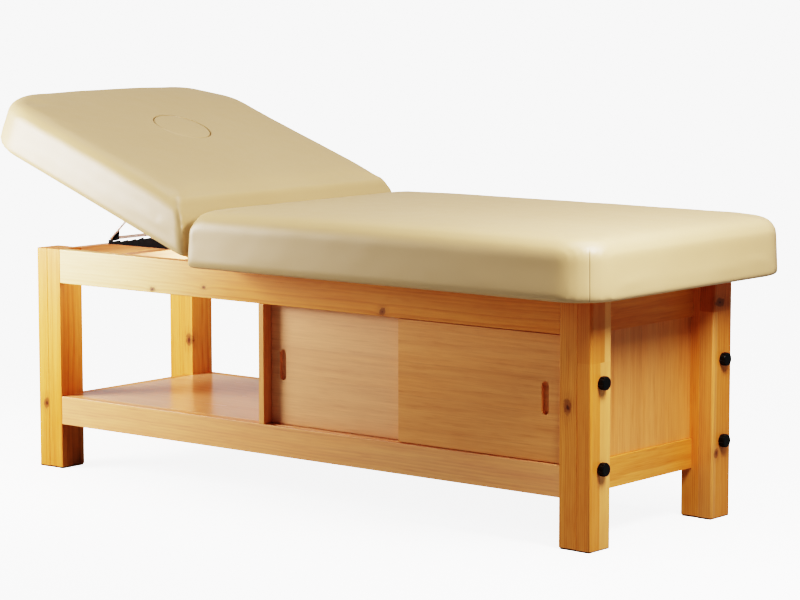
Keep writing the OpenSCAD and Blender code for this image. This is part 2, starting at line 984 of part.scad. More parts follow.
module head_batten_back() {
    color(pine)
        at_origin()
            head_along()
                difference() {
                    side_batten(1, axis_inset, head_inner, head_deck_round);
                    lean_cut(end_wrap);
                }
}

module head_batten_end() {
    color(pine) at_origin() head_along() far_batten(head_inner, head_deck_round);
}

module head_batten_hinge() {
    color(pine)
        at_origin()
            head_along()
                difference() {
                    cross_batten(axis_inset, strap_rise_at + hinge_batten_width);
                    lean_cut(end_wrap);
                }
}

module head_deck() {
    color(ply)
        at_origin()
            head_along()
                difference() {
                    translate([0, 0, batten_height])
                        linear_extrude(deck_thick)
                            difference() {
                                deck_outline(axis_inset, head_inner, pad_half_width - band_thick, head_deck_round);
                                translate([hole_reach, 0])
                                    circle(deck_hole_radius);
                            }
                    lean_cut(end_wrap);
                }
}

module head_cushion() {
    color(vinyl)
        at_origin()
            head_along()
                difference() {
                    cushion(face_reach(0), tan(head_limit), head_reach, head_corner, head_thick, head_crown,
                        head_taper, head_edge_share);
                    translate([hole_reach, 0, band_height - over])
                        cylinder(r = hole_radius, h = head_thick + head_crown);
                }
}

module head_band() {
    color(vinyl)
        at_origin()
            head_along()
                difference() {
                    band(axis_inset, head_reach, head_corner);
                    lean_cut(0);
                }
}

// Plug of the breathing hole
module face_plug_cushion() {
    radius = hole_radius - plug_play;
    top = head_thick + head_crown;
    height = top - band_height - part_gap - sunk(hole_reach, top, face_reach(head_thick), head_reach, head_thick, head_taper);
    color(vinyl)
        at_origin()
            head_along()
                translate([hole_reach, 0, band_height + part_gap])
                    rotate_extrude() {
                        square([radius, height - plug_edge]);
                        square([radius - plug_edge, height]);
                        translate([radius - plug_edge, height - plug_edge])
                            circle(plug_edge);
                    }
}

module face_plug_board() {
    color(ply)
        at_origin()
            head_along()
                translate([hole_reach, 0, band_height + part_gap - plug_board_thick])
                    cylinder(r = plug_board_radius, h = plug_board_thick);
}

// Hinge and lift
module hinge_leaves() {
    color(steel)
        at_origin()
            for (side = [-1, 1])
                hinge_leaf(side);
}

module hinge_straps() {
    color(steel)
        at_origin()
            in_head()
                for (side = [-1, 1])
                    hinge_strap(side);
}

module bail() { color(steel) at_origin() bail_rod(); }

module bail_brackets() {
    color(steel)
        at_origin()
            in_head()
                for (side = [-1, 1])
                    bracket(side);
}

module bail_pawls() {
    color(black)
        at_origin()
            for (side = [-1, 1])
                pawl(side);
}

module racks() {
    color(black)
        at_origin()
            for (side = [-1, 1])
                rack(side);
}

module rack_bearer() {
    bearer_x = tooth_x(tooth_count) + rack_tail;
    color(pine)
        at_origin()
            box([bearer_x - bearer_width, -rail_y_in, frame_height - bearer_height],
                [bearer_x, rail_y_in, frame_height]);
}

post_head_front();
post_head_back();
post_foot_front();
post_foot_back();
post_feet();
leg_tracks();
leg_board_head_front();
leg_board_head_back();
leg_board_foot_front();
leg_board_foot_back();
knob_head_front_upper();
knob_head_front_lower();
knob_head_back_upper();
knob_head_back_lower();
knob_foot_front_upper();
knob_foot_front_lower();
knob_foot_back_upper();
knob_foot_back_lower();
rail_upper_front();
rail_upper_back();
rail_lower_front();
rail_lower_back();
end_rail_upper_head();
end_rail_upper_foot();
end_rail_lower_head();
end_rail_lower_foot();
end_panel();
floor_board();
floor_cleats();
partition();
back_panel();
cabinet_top();
door_track();
door_left();
door_right();
flat_batten_front();
flat_batten_back();
flat_batten_foot();
flat_batten_hinge();
flat_deck();
flat_cushion();
flat_band();
head_batten_front();
head_batten_back();
head_batten_end();
head_batten_hinge();
head_deck();
head_cushion();
head_band();
face_plug_cushion();
face_plug_board();
hinge_leaves();
hinge_straps();
bail();
bail_brackets();
bail_pawls();
racks();
rack_bearer();
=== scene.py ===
"""Dresses the spa bed with a cabinet base: padded vinyl top, lacquered pine, plated and black metalwork."""
import json
import math
from collections import namedtuple

import bmesh
import bpy
from mathutils import Matrix, Vector, noise


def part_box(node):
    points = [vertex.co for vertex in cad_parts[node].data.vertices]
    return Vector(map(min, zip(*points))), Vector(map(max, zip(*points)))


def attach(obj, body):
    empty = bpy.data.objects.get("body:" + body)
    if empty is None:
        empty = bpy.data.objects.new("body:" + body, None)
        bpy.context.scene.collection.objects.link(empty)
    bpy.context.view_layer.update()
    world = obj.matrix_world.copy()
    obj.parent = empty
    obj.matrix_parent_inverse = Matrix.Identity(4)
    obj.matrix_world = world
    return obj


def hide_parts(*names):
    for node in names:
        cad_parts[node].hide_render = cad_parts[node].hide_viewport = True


bl_info = {
    "name": "Spa Bed With Cabinet Base",
    "version": (1, 0, 0),
    "blender": (4, 5, 0),
    "location": "3D View > Sidebar > Spa Bed",
    "description": "Makes the padded top and finishes the pine base of a spa bed",
    "category": "Add Mesh",
}

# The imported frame, loaded once
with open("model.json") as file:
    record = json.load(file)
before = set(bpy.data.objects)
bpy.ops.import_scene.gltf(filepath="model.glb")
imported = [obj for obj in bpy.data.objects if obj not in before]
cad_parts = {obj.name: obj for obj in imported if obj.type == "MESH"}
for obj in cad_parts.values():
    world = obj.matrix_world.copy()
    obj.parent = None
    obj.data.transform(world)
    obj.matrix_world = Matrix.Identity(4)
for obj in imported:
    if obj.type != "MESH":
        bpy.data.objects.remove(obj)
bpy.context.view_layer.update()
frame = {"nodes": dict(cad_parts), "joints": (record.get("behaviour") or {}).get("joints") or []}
JOINTS = {joint["name"]: joint for joint in frame["joints"]}
HINGE_AXIS = Vector(JOINTS["head_tilt"]["pos_m"])
PLUG_AXIS = Vector(JOINTS["plug_lift"]["axis"]).normalized()
HEAD_TILT = math.atan2(PLUG_AXIS.x, PLUG_AXIS.z)

FLAT_LOW, FLAT_HIGH = (Vector(corner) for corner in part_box("flat_band"))
# How far the foot end has moved from the reach for which the knots and the camera were placed
FOOT_SHIFT = FLAT_HIGH.x - 0.927


# Values that a user would change
class SpaBedPadSettings(bpy.types.PropertyGroup):
    foot_length: bpy.props.FloatProperty(
        name="Foot pad length", description="Length of the flat foot pad",
        default=FLAT_HIGH.x - FLAT_LOW.x, subtype="DISTANCE", unit="LENGTH")
    head_reach: bpy.props.FloatProperty(
        name="Head pad reach", description="Reach of the head pad from the hinge axis",
        default=0.809, subtype="DISTANCE", unit="LENGTH")
    half_width: bpy.props.FloatProperty(
        name="Half width", description="Half the width of both pads",
        default=FLAT_HIGH.y, subtype="DISTANCE", unit="LENGTH")
    foot_shoulder: bpy.props.FloatProperty(
        name="Foot pad shoulder", description="Thickness of the foot pad where its top starts to crown",
        default=0.132, subtype="DISTANCE", unit="LENGTH")
    foot_crown: bpy.props.FloatProperty(
        name="Foot pad crown", description="Rise of the middle of the foot pad over its shoulder",
        default=0.011, subtype="DISTANCE", unit="LENGTH")
    foot_roll: bpy.props.FloatProperty(
        name="Foot pad roll", description="How far the foot pad's top rolls down towards its hinge end",
        default=0.042, subtype="DISTANCE", unit="LENGTH")
    head_shoulder: bpy.props.FloatProperty(
        name="Head pad shoulder", description="Thickness of the head pad at its hinge end",
        default=0.128, subtype="DISTANCE", unit="LENGTH")
    head_crown: bpy.props.FloatProperty(
        name="Head pad crown", description="Rise of the middle of the head pad over its shoulder",
        default=0.002, subtype="DISTANCE", unit="LENGTH")
    head_taper: bpy.props.FloatProperty(
        name="Head pad taper", description="How much thinner the head pad is at its head end",
        default=0.006, subtype="DISTANCE", unit="LENGTH")
    hinge_roll: bpy.props.FloatProperty(
        name="Hinge end roll", description="How far the head pad's top rolls down towards its hinge end",
        default=0.014, subtype="DISTANCE", unit="LENGTH")
    head_roll: bpy.props.FloatProperty(
        name="Head end roll", description="How far the top rolls down at the corners of the head end",
        default=0.007, subtype="DISTANCE", unit="LENGTH")
    top_edge: bpy.props.FloatProperty(
        name="Top edge", description="Rounding of the top edge",
        default=0.038, subtype="DISTANCE", unit="LENGTH")
    bottom_edge: bpy.props.FloatProperty(
        name="Bottom edge", description="Rounding of the vinyl under the pad",
        default=0.004, subtype="DISTANCE", unit="LENGTH")
    hinge_corner: bpy.props.FloatProperty(
        name="Hinge corner", description="Plan rounding of the corners at the joint between the pads",
        default=0.016, subtype="DISTANCE", unit="LENGTH")
    foot_corner: bpy.props.FloatProperty(
        name="Foot corner", description="Plan rounding of the foot corners",
        default=0.098, subtype="DISTANCE", unit="LENGTH")
    head_corner: bpy.props.FloatProperty(
        name="Head corner", description="Plan rounding of the head corners",
        default=0.158, subtype="DISTANCE", unit="LENGTH")
    base_lift: bpy.props.FloatProperty(
        name="Base lift", description="Height of the head pad's underside over the hinge axis",
        default=0.0093, subtype="DISTANCE", unit="LENGTH")
    hinge_face: bpy.props.FloatProperty(
        name="Hinge face", description="Reach at which the head pad starts, at its underside",
        default=0.0562, subtype="DISTANCE", unit="LENGTH")
    hinge_lean: bpy.props.FloatProperty(
        name="Hinge lean", description="Lean of the head pad's hinge face from square",
        default=math.radians(25.5), subtype="ANGLE", unit="ROTATION")
    hollow_half: bpy.props.FloatProperty(
        name="Hollow half width", description="Half the width of the hollow under a pad",
        default=0.240, subtype="DISTANCE", unit="LENGTH")
    hollow_depth: bpy.props.FloatProperty(
        name="Hollow depth", description="Depth of the hollow under a pad",
        default=0.038, subtype="DISTANCE", unit="LENGTH")
    voxel: bpy.props.FloatProperty(
        name="Remesh size", description="Voxel size of the mesh that the cloth solver fills",
        default=0.009, subtype="DISTANCE", unit="LENGTH")
    start_inset: bpy.props.FloatProperty(
        name="Start inset", description="How much smaller a pad starts before it is filled",
        default=0.002, subtype="DISTANCE", unit="LENGTH")
    swell: bpy.props.FloatProperty(
        name="Swell limit", description="The furthest that filling may push the vinyl out",
        default=0.003, subtype="DISTANCE", unit="LENGTH")
    hole_reach: bpy.props.FloatProperty(
        name="Breathing hole reach", description="Reach of the breathing hole from the hinge axis",
        default=0.505, subtype="DISTANCE", unit="LENGTH")
    hole_radius: bpy.props.FloatProperty(
        name="Breathing hole radius", description="Radius of the breathing hole",
        default=0.073, subtype="DISTANCE", unit="LENGTH")


class SpaBedColourSettings(bpy.types.PropertyGroup):
    vinyl: bpy.props.FloatVectorProperty(
        name="Vinyl", description="Colour of the upholstery", subtype="COLOR", size=4,
        default=(0.530, 0.366, 0.190, 1.0), min=0.0, max=1.0)
    pine_pale: bpy.props.FloatVectorProperty(
        name="Pine, pale", description="Colour of the early growth between rings", subtype="COLOR", size=4,
        default=(0.780, 0.340, 0.088, 1.0), min=0.0, max=1.0)
    pine_deep: bpy.props.FloatVectorProperty(
        name="Pine, deep", description="Colour of the late growth in the rings", subtype="COLOR", size=4,
        default=(0.500, 0.140, 0.017, 1.0), min=0.0, max=1.0)
    board_pale: bpy.props.FloatVectorProperty(
        name="Board, pale", description="Pale colour of the glued boards", subtype="COLOR", size=4,
        default=(0.800, 0.365, 0.130, 1.0), min=0.0, max=1.0)
    board_deep: bpy.props.FloatVectorProperty(
        name="Board, deep", description="Deep colour of the glued boards", subtype="COLOR", size=4,
        default=(0.520, 0.185, 0.045, 1.0), min=0.0, max=1.0)


# The colours that a material's own colour is blended towards
WARM_GROWTH = (0.96, 0.76, 0.52, 1.0)
WARM_STAVE = (1.0, 0.82, 0.58, 1.0)
TONE_PALE = (1.0, 0.92, 0.80, 1.0)
TONE_DEEP = (0.62, 0.42, 0.22, 1.0)
PALE_STRETCH_COLOUR = (0.93, 0.66, 0.30, 1.0)
# Strip colours: glued laminations on the front foot leg, and a painted highlight and a painted shadow on the
# back foot leg
LAMINATION_AND_PAINTED_HIGHLIGHT = (0.88, 0.56, 0.26, 1.0)
LAMINATION_AND_PAINTED_SHADOW = (0.42, 0.11, 0.012, 1.0)
KNOT_CORE = (0.105, 0.024, 0.005, 1.0)
GLUE_LINE = (0.10, 0.035, 0.010, 1.0)
VINYL_SHADE = (0.86, 0.80, 0.70, 1.0)
SEAM_SHADE = (0.16, 0.11, 0.055, 1.0)
RUBBER = (0.020, 0.017, 0.014, 1.0)
WHITE = (1.0, 1.0, 1.0, 1.0)


# Shader helpers
class Graph:
    """A short way to add and join the nodes of one tree."""

    def __init__(self, tree):
        self.tree = tree

    def add(self, kind, inputs=None, **settings):
        made = self.tree.nodes.new(kind)
        for key, value in settings.items():
            setattr(made, key, value)
        for key, value in (inputs or {}).items():
            self.put(made.inputs[key], value)
        return made

    def put(self, socket, value):
        if isinstance(value, bpy.types.NodeSocket):
            self.tree.links.new(value, socket)
        else:
            socket.default_value = value

    def maths(self, operation, a, b=0.0, c=None, clamp=False):
        inputs = {0: a, 1: b}
        if c is not None:
            inputs[2] = c
        return self.add("ShaderNodeMath", inputs, operation=operation, use_clamp=clamp).outputs[0]

    def between(self, value, low, high):
        over = self.maths("GREATER_THAN", value, low)
        return self.maths("MULTIPLY", over, self.maths("LESS_THAN", value, high))

    def vector(self, operation, a, b=(0.0, 0.0, 0.0)):
        made = self.add("ShaderNodeVectorMath", {0: a, 1: b}, operation=operation)
        return made.outputs["Value" if operation in ("LENGTH", "DOT_PRODUCT") else "Vector"]

    def split(self, vector):
        return self.add("ShaderNodeSeparateXYZ", {0: vector}).outputs

    def blend(self, share, a, b, mode="MIX"):
        made = self.add("ShaderNodeMix", data_type="RGBA", blend_type=mode)
        self.put(made.inputs[0], share)
        self.put(made.inputs[6], a)
        self.put(made.inputs[7], b)
        return made.outputs[2]

    def ramp(self, value, low, high, to_low=0.0, to_high=1.0):
        inputs = {"Value": value, "From Min": low, "From Max": high, "To Min": to_low, "To Max": to_high}
        return self.add("ShaderNodeMapRange", inputs, interpolation_type="SMOOTHSTEP").outputs["Result"]

    def noise(self, vector, scale, detail=2.0, rough=0.5):
        inputs = {"Vector": vector, "Scale": scale, "Detail": detail, "Roughness": rough}
        return self.add("ShaderNodeTexNoise", inputs).outputs["Fac"]

    def chance(self, number):
        return self.add("ShaderNodeTexWhiteNoise", {"W": number}, noise_dimensions="1D").outputs["Value"]


def new_group(name, inputs, outputs):
    """An empty shader node group with named inputs and outputs."""
    tree = bpy.data.node_groups.new(name, "ShaderNodeTree")
    for label, kind, default in inputs:
        socket = tree.interface.new_socket(name=label, in_out="INPUT", socket_type=kind)
        if default is not None:
            socket.default_value = default
    for label, kind in outputs:
        tree.interface.new_socket(name=label, in_out="OUTPUT", socket_type=kind)
    start = tree.nodes.new("NodeGroupInput")
    end = tree.nodes.new("NodeGroupOutput")
    return tree, Graph(tree), start.outputs, end.inputs


def group_of(name, build):
    return bpy.data.node_groups.get(name) or build(name)


def build_pine_growth(name):
    """Growth rings, fibres and slow drift of tone in wood whose grain runs along local X."""
    tree, g, given, result = new_group(name, [
        ("Vector", "NodeSocketVector", None),
        ("Ring width", "NodeSocketFloat", 0.006),
        ("Wander", "NodeSocketFloat", 0.03),
        ("Heart", "NodeSocketVector", (0.0, 0.05, -0.12)),
        ("Knot pull", "NodeSocketFloat", 0.0),
    ], [("Rings", "NodeSocketFloat"), ("Fibre", "NodeSocketFloat"), ("Drift", "NodeSocketFloat")])
    place = given["Vector"]

    def drawn_out(along, across, detail=2.0, rough=0.5):
        return g.noise(g.vector("MULTIPLY", place, (along, across, across)), 1.0, detail, rough)

    offset = g.split(g.vector("SUBTRACT", place, given["Heart"]))
    squares = g.maths("ADD", g.maths("POWER", offset["Y"], 2.0), g.maths("POWER", offset["Z"], 2.0))
    wander = g.maths("MULTIPLY", g.maths("SUBTRACT", drawn_out(1.1, 5.0, 3.0), 0.5), given["Wander"])
    radius = g.maths("ADD", g.maths("ADD", g.maths("SQRT", squares), wander), given["Knot pull"])
    radius = g.maths("ADD", radius, g.maths("MULTIPLY_ADD", drawn_out(9.0, 300.0), 0.0024, -0.0012))
    phase = g.maths("DIVIDE", radius, given["Ring width"])
    part = g.maths("FRACT", phase)
    rise = g.ramp(part, 0.05, 0.82)
    fall = g.ramp(part, 0.84, 1.0, 1.0, 0.0)
    strength = g.maths("MULTIPLY_ADD", g.chance(g.maths("FLOOR", phase)), 0.75, 0.25)
    g.put(result["Rings"], g.maths("MULTIPLY", g.maths("MULTIPLY", rise, fall), strength))
    streaks = drawn_out(3.0, 75.0, 3.0, 0.55)
    coarse = drawn_out(9.0, 330.0, 3.0, 0.6)
    fine = drawn_out(26.0, 1200.0, 2.0, 0.6)
    flecks = g.ramp(drawn_out(16.0, 150.0), 0.52, 0.72)
    fibre = g.maths("MULTIPLY_ADD", fine, 0.25, g.maths("MULTIPLY", coarse, 0.35))
    fibre = g.maths("MULTIPLY_ADD", flecks, 0.08, fibre)
    g.put(result["Fibre"], g.maths("MULTIPLY_ADD", streaks, 0.40, fibre))
    g.put(result["Drift"], drawn_out(1.4, 12.0))
    return tree


def build_knot(name):
    """A round knot: its core, and how far it bends the rings around it."""
    tree, g, given, result = new_group(name, [
        ("Vector", "NodeSocketVector", None),
        ("Centre", "NodeSocketVector", (0.0, 0.0, 0.0)),
        ("Stretch", "NodeSocketVector", (1.0, 1.0, 1.0)),
        ("Radius", "NodeSocketFloat", 0.01),
    ], [("Core", "NodeSocketFloat"), ("Pull", "NodeSocketFloat")])
    away = g.vector("MULTIPLY", g.vector("SUBTRACT", given["Vector"], given["Centre"]), given["Stretch"])
    rough = g.noise(given["Vector"], 95.0, 3.0, 0.6)
    distance = g.maths("DIVIDE", g.vector("LENGTH", away), given["Radius"])
    distance = g.maths("ADD", distance, g.maths("MULTIPLY_ADD", rough, 1.1, -0.55))
    bands = g.maths("SINE", g.maths("MULTIPLY", distance, 11.0))
    disc = g.ramp(distance, 0.45, 1.15, 1.0, 0.0)
    rim = g.maths("MULTIPLY", g.ramp(distance, 0.45, 0.85), g.ramp(distance, 0.85, 1.15, 1.0, 0.0))
    heart = g.ramp(distance, 0.0, 0.6, 0.28, 0.0)
    core = g.maths("MULTIPLY", disc, g.maths("MULTIPLY_ADD", bands, 0.06, 0.70))
    core = g.maths("ADD", g.maths("MULTIPLY_ADD", rim, 0.10, core), heart)
    halo = g.ramp(distance, 0.9, 2.4, 0.16, 0.0)
    g.put(result["Core"], g.maths("MINIMUM", g.maths("MAXIMUM", core, halo), 1.0))
    nearness = g.maths("POWER", math.e, g.maths("MULTIPLY", distance, -0.8))
    g.put(result["Pull"], g.maths("MULTIPLY", nearness, 0.009))
    return tree


def build_staves(name):
    """Glued staves: each strip along local X has its own tone and its own piece of wood."""
    tree, g, given, result = new_group(name, [
        ("Vector", "NodeSocketVector", None),
        ("Strip width", "NodeSocketFloat", 0.07),
        ("Strip length", "NodeSocketFloat", 0.45),
    ], [("Vector", "NodeSocketVector"), ("Tone", "NodeSocketFloat"), ("Joint", "NodeSocketFloat")])
    xyz = g.split(given["Vector"])
    across = g.maths("DIVIDE", xyz["Y"], given["Strip width"])
    row = g.maths("FLOOR", across)
    shift = g.maths("MULTIPLY", g.chance(row), 7.3)
    along = g.maths("ADD", g.maths("DIVIDE", xyz["X"], given["Strip length"]), shift)
    cell = g.add("ShaderNodeCombineXYZ", {0: g.maths("FLOOR", along), 1: row}).outputs[0]
    chance = g.add("ShaderNodeTexWhiteNoise", {"Vector": cell}, noise_dimensions="2D").outputs
    moved = g.vector("ADD", given["Vector"], g.vector("MULTIPLY", chance["Color"], (3.0, 0.3, 0.3)))
    g.put(result["Vector"], moved)
    g.put(result["Tone"], chance["Value"])
    edge = g.maths("ABSOLUTE", g.maths("SUBTRACT", g.maths("FRACT", across), 0.5))
    end = g.maths("ABSOLUTE", g.maths("SUBTRACT", g.maths("FRACT", along), 0.5))
    line = g.maths("MAXIMUM", g.ramp(edge, 0.488, 0.5), g.ramp(end, 0.4975, 0.5))
    g.put(result["Joint"], line)
    return tree


def build_vinyl_grain(name):
    """The pebbled press of upholstery vinyl, with a slow unevenness of tone."""
    tree, g, given, result = new_group(name, [
        ("Vector", "NodeSocketVector", None),
        ("Pebble", "NodeSocketFloat", 900.0),
    ], [("Height", "NodeSocketFloat"), ("Tone", "NodeSocketFloat"), ("Rub", "NodeSocketFloat")])
    cells = g.add("ShaderNodeTexVoronoi", {"Vector": given["Vector"], "Scale": given["Pebble"]},
                  feature="SMOOTH_F1")
    cells.inputs["Smoothness"].default_value = 0.6
    fine = g.maths("MULTIPLY", g.noise(given["Vector"], 2400.0), 0.3)
    g.put(result["Height"], g.maths("MULTIPLY_ADD", cells.outputs["Distance"], 0.7, fine))
    g.put(result["Tone"], g.noise(given["Vector"], 4.0, 3.0))
    g.put(result["Rub"], g.noise(given["Vector"], 28.0, 4.0, 0.6))
    return tree


def build_scuffs(name):
    """Fine handling marks on metal and moulded plastic."""
    tree, g, given, result = new_group(name, [
        ("Vector", "NodeSocketVector", None),
        ("Size", "NodeSocketFloat", 90.0),
    ], [("Rub", "NodeSocketFloat"), ("Height", "NodeSocketFloat")])
    g.put(result["Rub"], g.noise(given["Vector"], given["Size"], 5.0, 0.65))
    g.put(result["Height"], g.noise(g.vector("MULTIPLY", given["Vector"], (1.0, 1.0, 6.0)), 700.0, 3.0))
    return tree


def new_material(name):
    material = bpy.data.materials.new(name)
    material.use_nodes = True
    tree = material.node_tree
    tree.nodes.clear()
    g = Graph(tree)
    shader = g.add("ShaderNodeBsdfPrincipled")
    output = g.add("ShaderNodeOutputMaterial")
    tree.links.new(shader.outputs[0], output.inputs[0])
    place = g.add("ShaderNodeTexCoord").outputs["Object"]
    return material, g, shader, place


def use_group(g, name, build, inputs):
    made = g.add("ShaderNodeGroup", node_tree=group_of(name, build))
    for key, value in inputs.items():
        g.put(made.inputs[key], value)
    return made.outputs


def finish_surface(g, shader, colour, roughness, height, strength, depth):
    """Joins a shader's colour and roughness, and the fine relief of its height."""
    g.put(shader.inputs["Base Color"], colour)
    g.put(shader.inputs["Roughness"], roughness)
    bump = g.add("ShaderNodeBump", {"Height": height, "Strength": strength, "Distance": depth})
    g.put(shader.inputs["Normal"], bump.outputs[0])


# The turn that lays a board's grain along local X
GRAIN_TURNS = {"X": (0.0, 0.0, 0.0), "Y": (0.0, 0.0, -math.pi / 2), "Z": (0.0, math.pi / 2, 0.0)}


def in_tree(g, place, grain, start):
    """Lays the grain along local X and slides the board to its start in the tree."""
    inputs = {"Vector": place, "Rotation": GRAIN_TURNS[grain], "Location": start}
    return g.add("ShaderNodeMapping", inputs).outputs[0]


def toned(g, colour, tone):
    """Makes wood paler for a tone over 0 and deeper for one under 0."""
    if tone > 0:
        return g.blend(tone, colour, TONE_PALE, "SCREEN")
    if tone < 0:
        return g.blend(-tone, colour, TONE_DEEP, "MULTIPLY")
    return colour


def pine_material(name, grain, start, tone=0.0, heart=(0.0, 0.05, -0.12), ring=0.006, knots=(),
                  dark_foot=False, sapwood=None, strips=()):
    """Lacquered solid pine. Start slides the board along and round the tree, tone runs from -1 to 1.

    Each knot is its centre, radius and stretch. Pale stretch is the stretch of X over which the board turns
    paler. Each strip is a band of Y and Z with its own colour: its lowest and highest Y, its lowest and
    highest
    Z, its tone. On the front foot leg board the strips are glued laminations; on the back foot leg board they
    are a painted highlight along an edge and a painted shadow at the top, under the pad."""
    colours = bpy.context.scene.spa_bed_colours
    material, g, shader, place = new_material(name)
    pull, core = 0.0, 0.0
    for centre, radius, stretch in knots:
        knot = use_group(g, "Pine knot", build_knot, {
            "Vector": place, "Centre": centre, "Radius": radius, "Stretch": stretch})
        pull = g.maths("ADD", knot["Pull"], pull)
        core = g.maths("MAXIMUM", knot["Core"], core)
    growth = use_group(g, "Pine growth", build_pine_growth, {
        "Vector": in_tree(g, place, grain, start), "Ring width": ring, "Heart": heart, "Knot pull": pull})
    fibre = g.maths("MULTIPLY_ADD", growth["Fibre"], 1.90, -0.80)
    share = g.maths("MULTIPLY_ADD", growth["Rings"], 0.42, fibre, clamp=True)
    colour = g.blend(share, tuple(colours.pine_pale), tuple(colours.pine_deep))
    colour = g.blend(g.ramp(growth["Drift"], 0.35, 0.75, 0.0, 0.7), colour, WARM_GROWTH, "MULTIPLY")
    colour = toned(g, colour, tone)
    # The board turns paler over the given stretch of X, towards its pale colour
    if sapwood:
        along = g.ramp(g.split(place)["X"], *sapwood)
        pale = g.maths("MULTIPLY", along, g.maths("MULTIPLY_ADD", share, -0.4, 0.85))
        colour = g.blend(pale, colour, PALE_STRETCH_COLOUR)
    # Strips are glued laminations on the front foot leg board; on the back foot leg board they are a painted
    # highlight along an edge and a painted shadow at the top
    for low_y, high_y, low_z, high_z, strip_tone in strips:
        spot = g.split(place)
        inside = g.maths("MULTIPLY", g.between(spot["Y"], low_y, high_y), g.between(spot["Z"], low_z, high_z))
        strength = g.maths("MULTIPLY", inside, abs(strip_tone))
        colour = g.blend(strength, colour, LAMINATION_AND_PAINTED_HIGHLIGHT if strip_tone > 0 else LAMINATION_AND_PAINTED_SHADOW)
    if knots:
        colour = g.blend(core, colour, KNOT_CORE)
    if dark_foot:
        colour = g.blend(g.ramp(g.split(place)["Z"], 0.0024, 0.0036, 1.0, 0.0), colour, RUBBER)
    shader.inputs["Specular IOR Level"].default_value = 0.35
    shader.inputs["Coat Weight"].default_value = 0.06
    shader.inputs["Coat Roughness"].default_value = 0.22
    relief = g.maths("MULTIPLY_ADD", growth["Rings"], -0.5, growth["Fibre"])
    roughness = g.maths("MULTIPLY_ADD", growth["Fibre"], 0.22, 0.27)
    finish_surface(g, shader, colour, roughness, relief, 0.12, 0.0006)
    return material


def glued_material(name, grain, start, strip, length, tone=0.0, ring=0.010, gloss=0.0):
    """Lacquered boards glued up from staves, as used for doors, panels and the floor."""
    colours = bpy.context.scene.spa_bed_colours
    material, g, shader, place = new_material(name)
    turned = in_tree(g, place, grain, start)
    if grain == "X":
        # Staves lie side by side along Y, on a door that stands up too
        xyz = g.split(turned)
        across = g.maths("ADD", xyz["Z"], xyz["Y"])
        turned = g.add("ShaderNodeCombineXYZ", {0: xyz["X"], 1: across, 2: xyz["Y"]}).outputs[0]
    staves = use_group(g, "Glued staves", build_staves, {
        "Vector": turned, "Strip width": strip, "Strip length": length})
    growth = use_group(g, "Pine growth", build_pine_growth, {
        "Vector": staves["Vector"], "Ring width": ring, "Wander": 0.05})
    fibre = g.maths("MULTIPLY_ADD", growth["Fibre"], 2.20, -0.84)
    share = g.maths("MULTIPLY_ADD", growth["Rings"], 0.12, fibre)
    share = g.maths("ADD", share, g.maths("MULTIPLY_ADD", staves["Tone"], 0.24, -0.12), clamp=True)
    colour = g.blend(share, tuple(colours.board_pale), tuple(colours.board_deep))
    colour = g.blend(g.ramp(growth["Drift"], 0.4, 0.85, 0.0, 0.35), colour, WARM_STAVE, "MULTIPLY")
    colour = toned(g, colour, tone)
    colour = g.blend(g.maths("MULTIPLY", staves["Joint"], 0.12), colour, GLUE_LINE)
    shader.inputs["Coat Weight"].default_value = 0.06 + gloss
    shader.inputs["Coat Roughness"].default_value = 0.16
    relief = g.maths("MULTIPLY_ADD", staves["Joint"], -1.0, growth["Fibre"])
    roughness = g.maths("MULTIPLY_ADD", growth["Fibre"], 0.20, 0.30 - gloss)
    finish_surface(g, shader, colour, roughness, relief, 0.10, 0.0005)
    return material


def vinyl_material(name, seams=()):
    """Cream upholstery vinyl. Each seam is a point, its plane's normal and the heights it runs between."""
    colours = bpy.context.scene.spa_bed_colours
    material, g, shader, place = new_material(name)
    grain = use_group(g, "Vinyl grain", build_vinyl_grain, {"Vector": place})
    shade = g.ramp(grain["Tone"], 0.3, 0.7, 0.0, 0.16)
    colour = g.blend(shade, tuple(colours.vinyl), VINYL_SHADE, "MULTIPLY")
    height = grain["Height"]
    groove = 0.0
    for point, normal, low, high in seams:
        offset = g.vector("SUBTRACT", place, tuple(point))
        away = g.maths("ABSOLUTE", g.vector("DOT_PRODUCT", offset, tuple(normal)))
        reach = g.vector("LENGTH", g.vector("MULTIPLY", offset, (1.0, 1.0, 0.0)))
        level = g.split(place)["Z"]
        line = g.maths("MULTIPLY", g.ramp(away, 0.0, 0.0030, 1.0, 0.0), g.ramp(reach, 0.075, 0.085, 1.0, 0.0))
        line = g.maths("MULTIPLY", line, g.ramp(level, low - 0.004, low + 0.004))
        line = g.maths("MULTIPLY", line, g.ramp(level, high - 0.02, high, 1.0, 0.0))
        groove = g.maths("MAXIMUM", line, groove)
    if seams:
        colour = g.blend(g.ramp(groove, 0.45, 0.95, 0.0, 0.62), colour, SEAM_SHADE)
        height = g.maths("MULTIPLY_ADD", groove, -7.0, height)
    roughness = g.maths("MULTIPLY_ADD", grain["Rub"], 0.16, 0.34)
    finish_surface(g, shader, colour, roughness, height, 0.35, 0.00022)
    return material


def hard_material(name, colour, roughness, metallic=0.0, coat=0.0, size=90.0, relief=0.08, shine=0.5):
    """Plated, painted or moulded pieces with fine handling marks."""
    material, g, shader, place = new_material(name)
    marks = use_group(g, "Handling marks", build_scuffs, {"Vector": place, "Size": size})
    dull = tuple(c * 0.72 for c in colour[:3]) + (1.0,)
    worn = g.blend(g.ramp(marks["Rub"], 0.35, 0.7), colour, dull)
    rubbed = g.maths("MULTIPLY_ADD", marks["Rub"], 0.18, roughness - 0.09)
    shader.inputs["Metallic"].default_value = metallic
    shader.inputs["Specular IOR Level"].default_value = shine
    shader.inputs["Coat Weight"].default_value = coat
    finish_surface(g, shader, worn, rubbed, marks["Height"], relief, 0.0003)
    return material


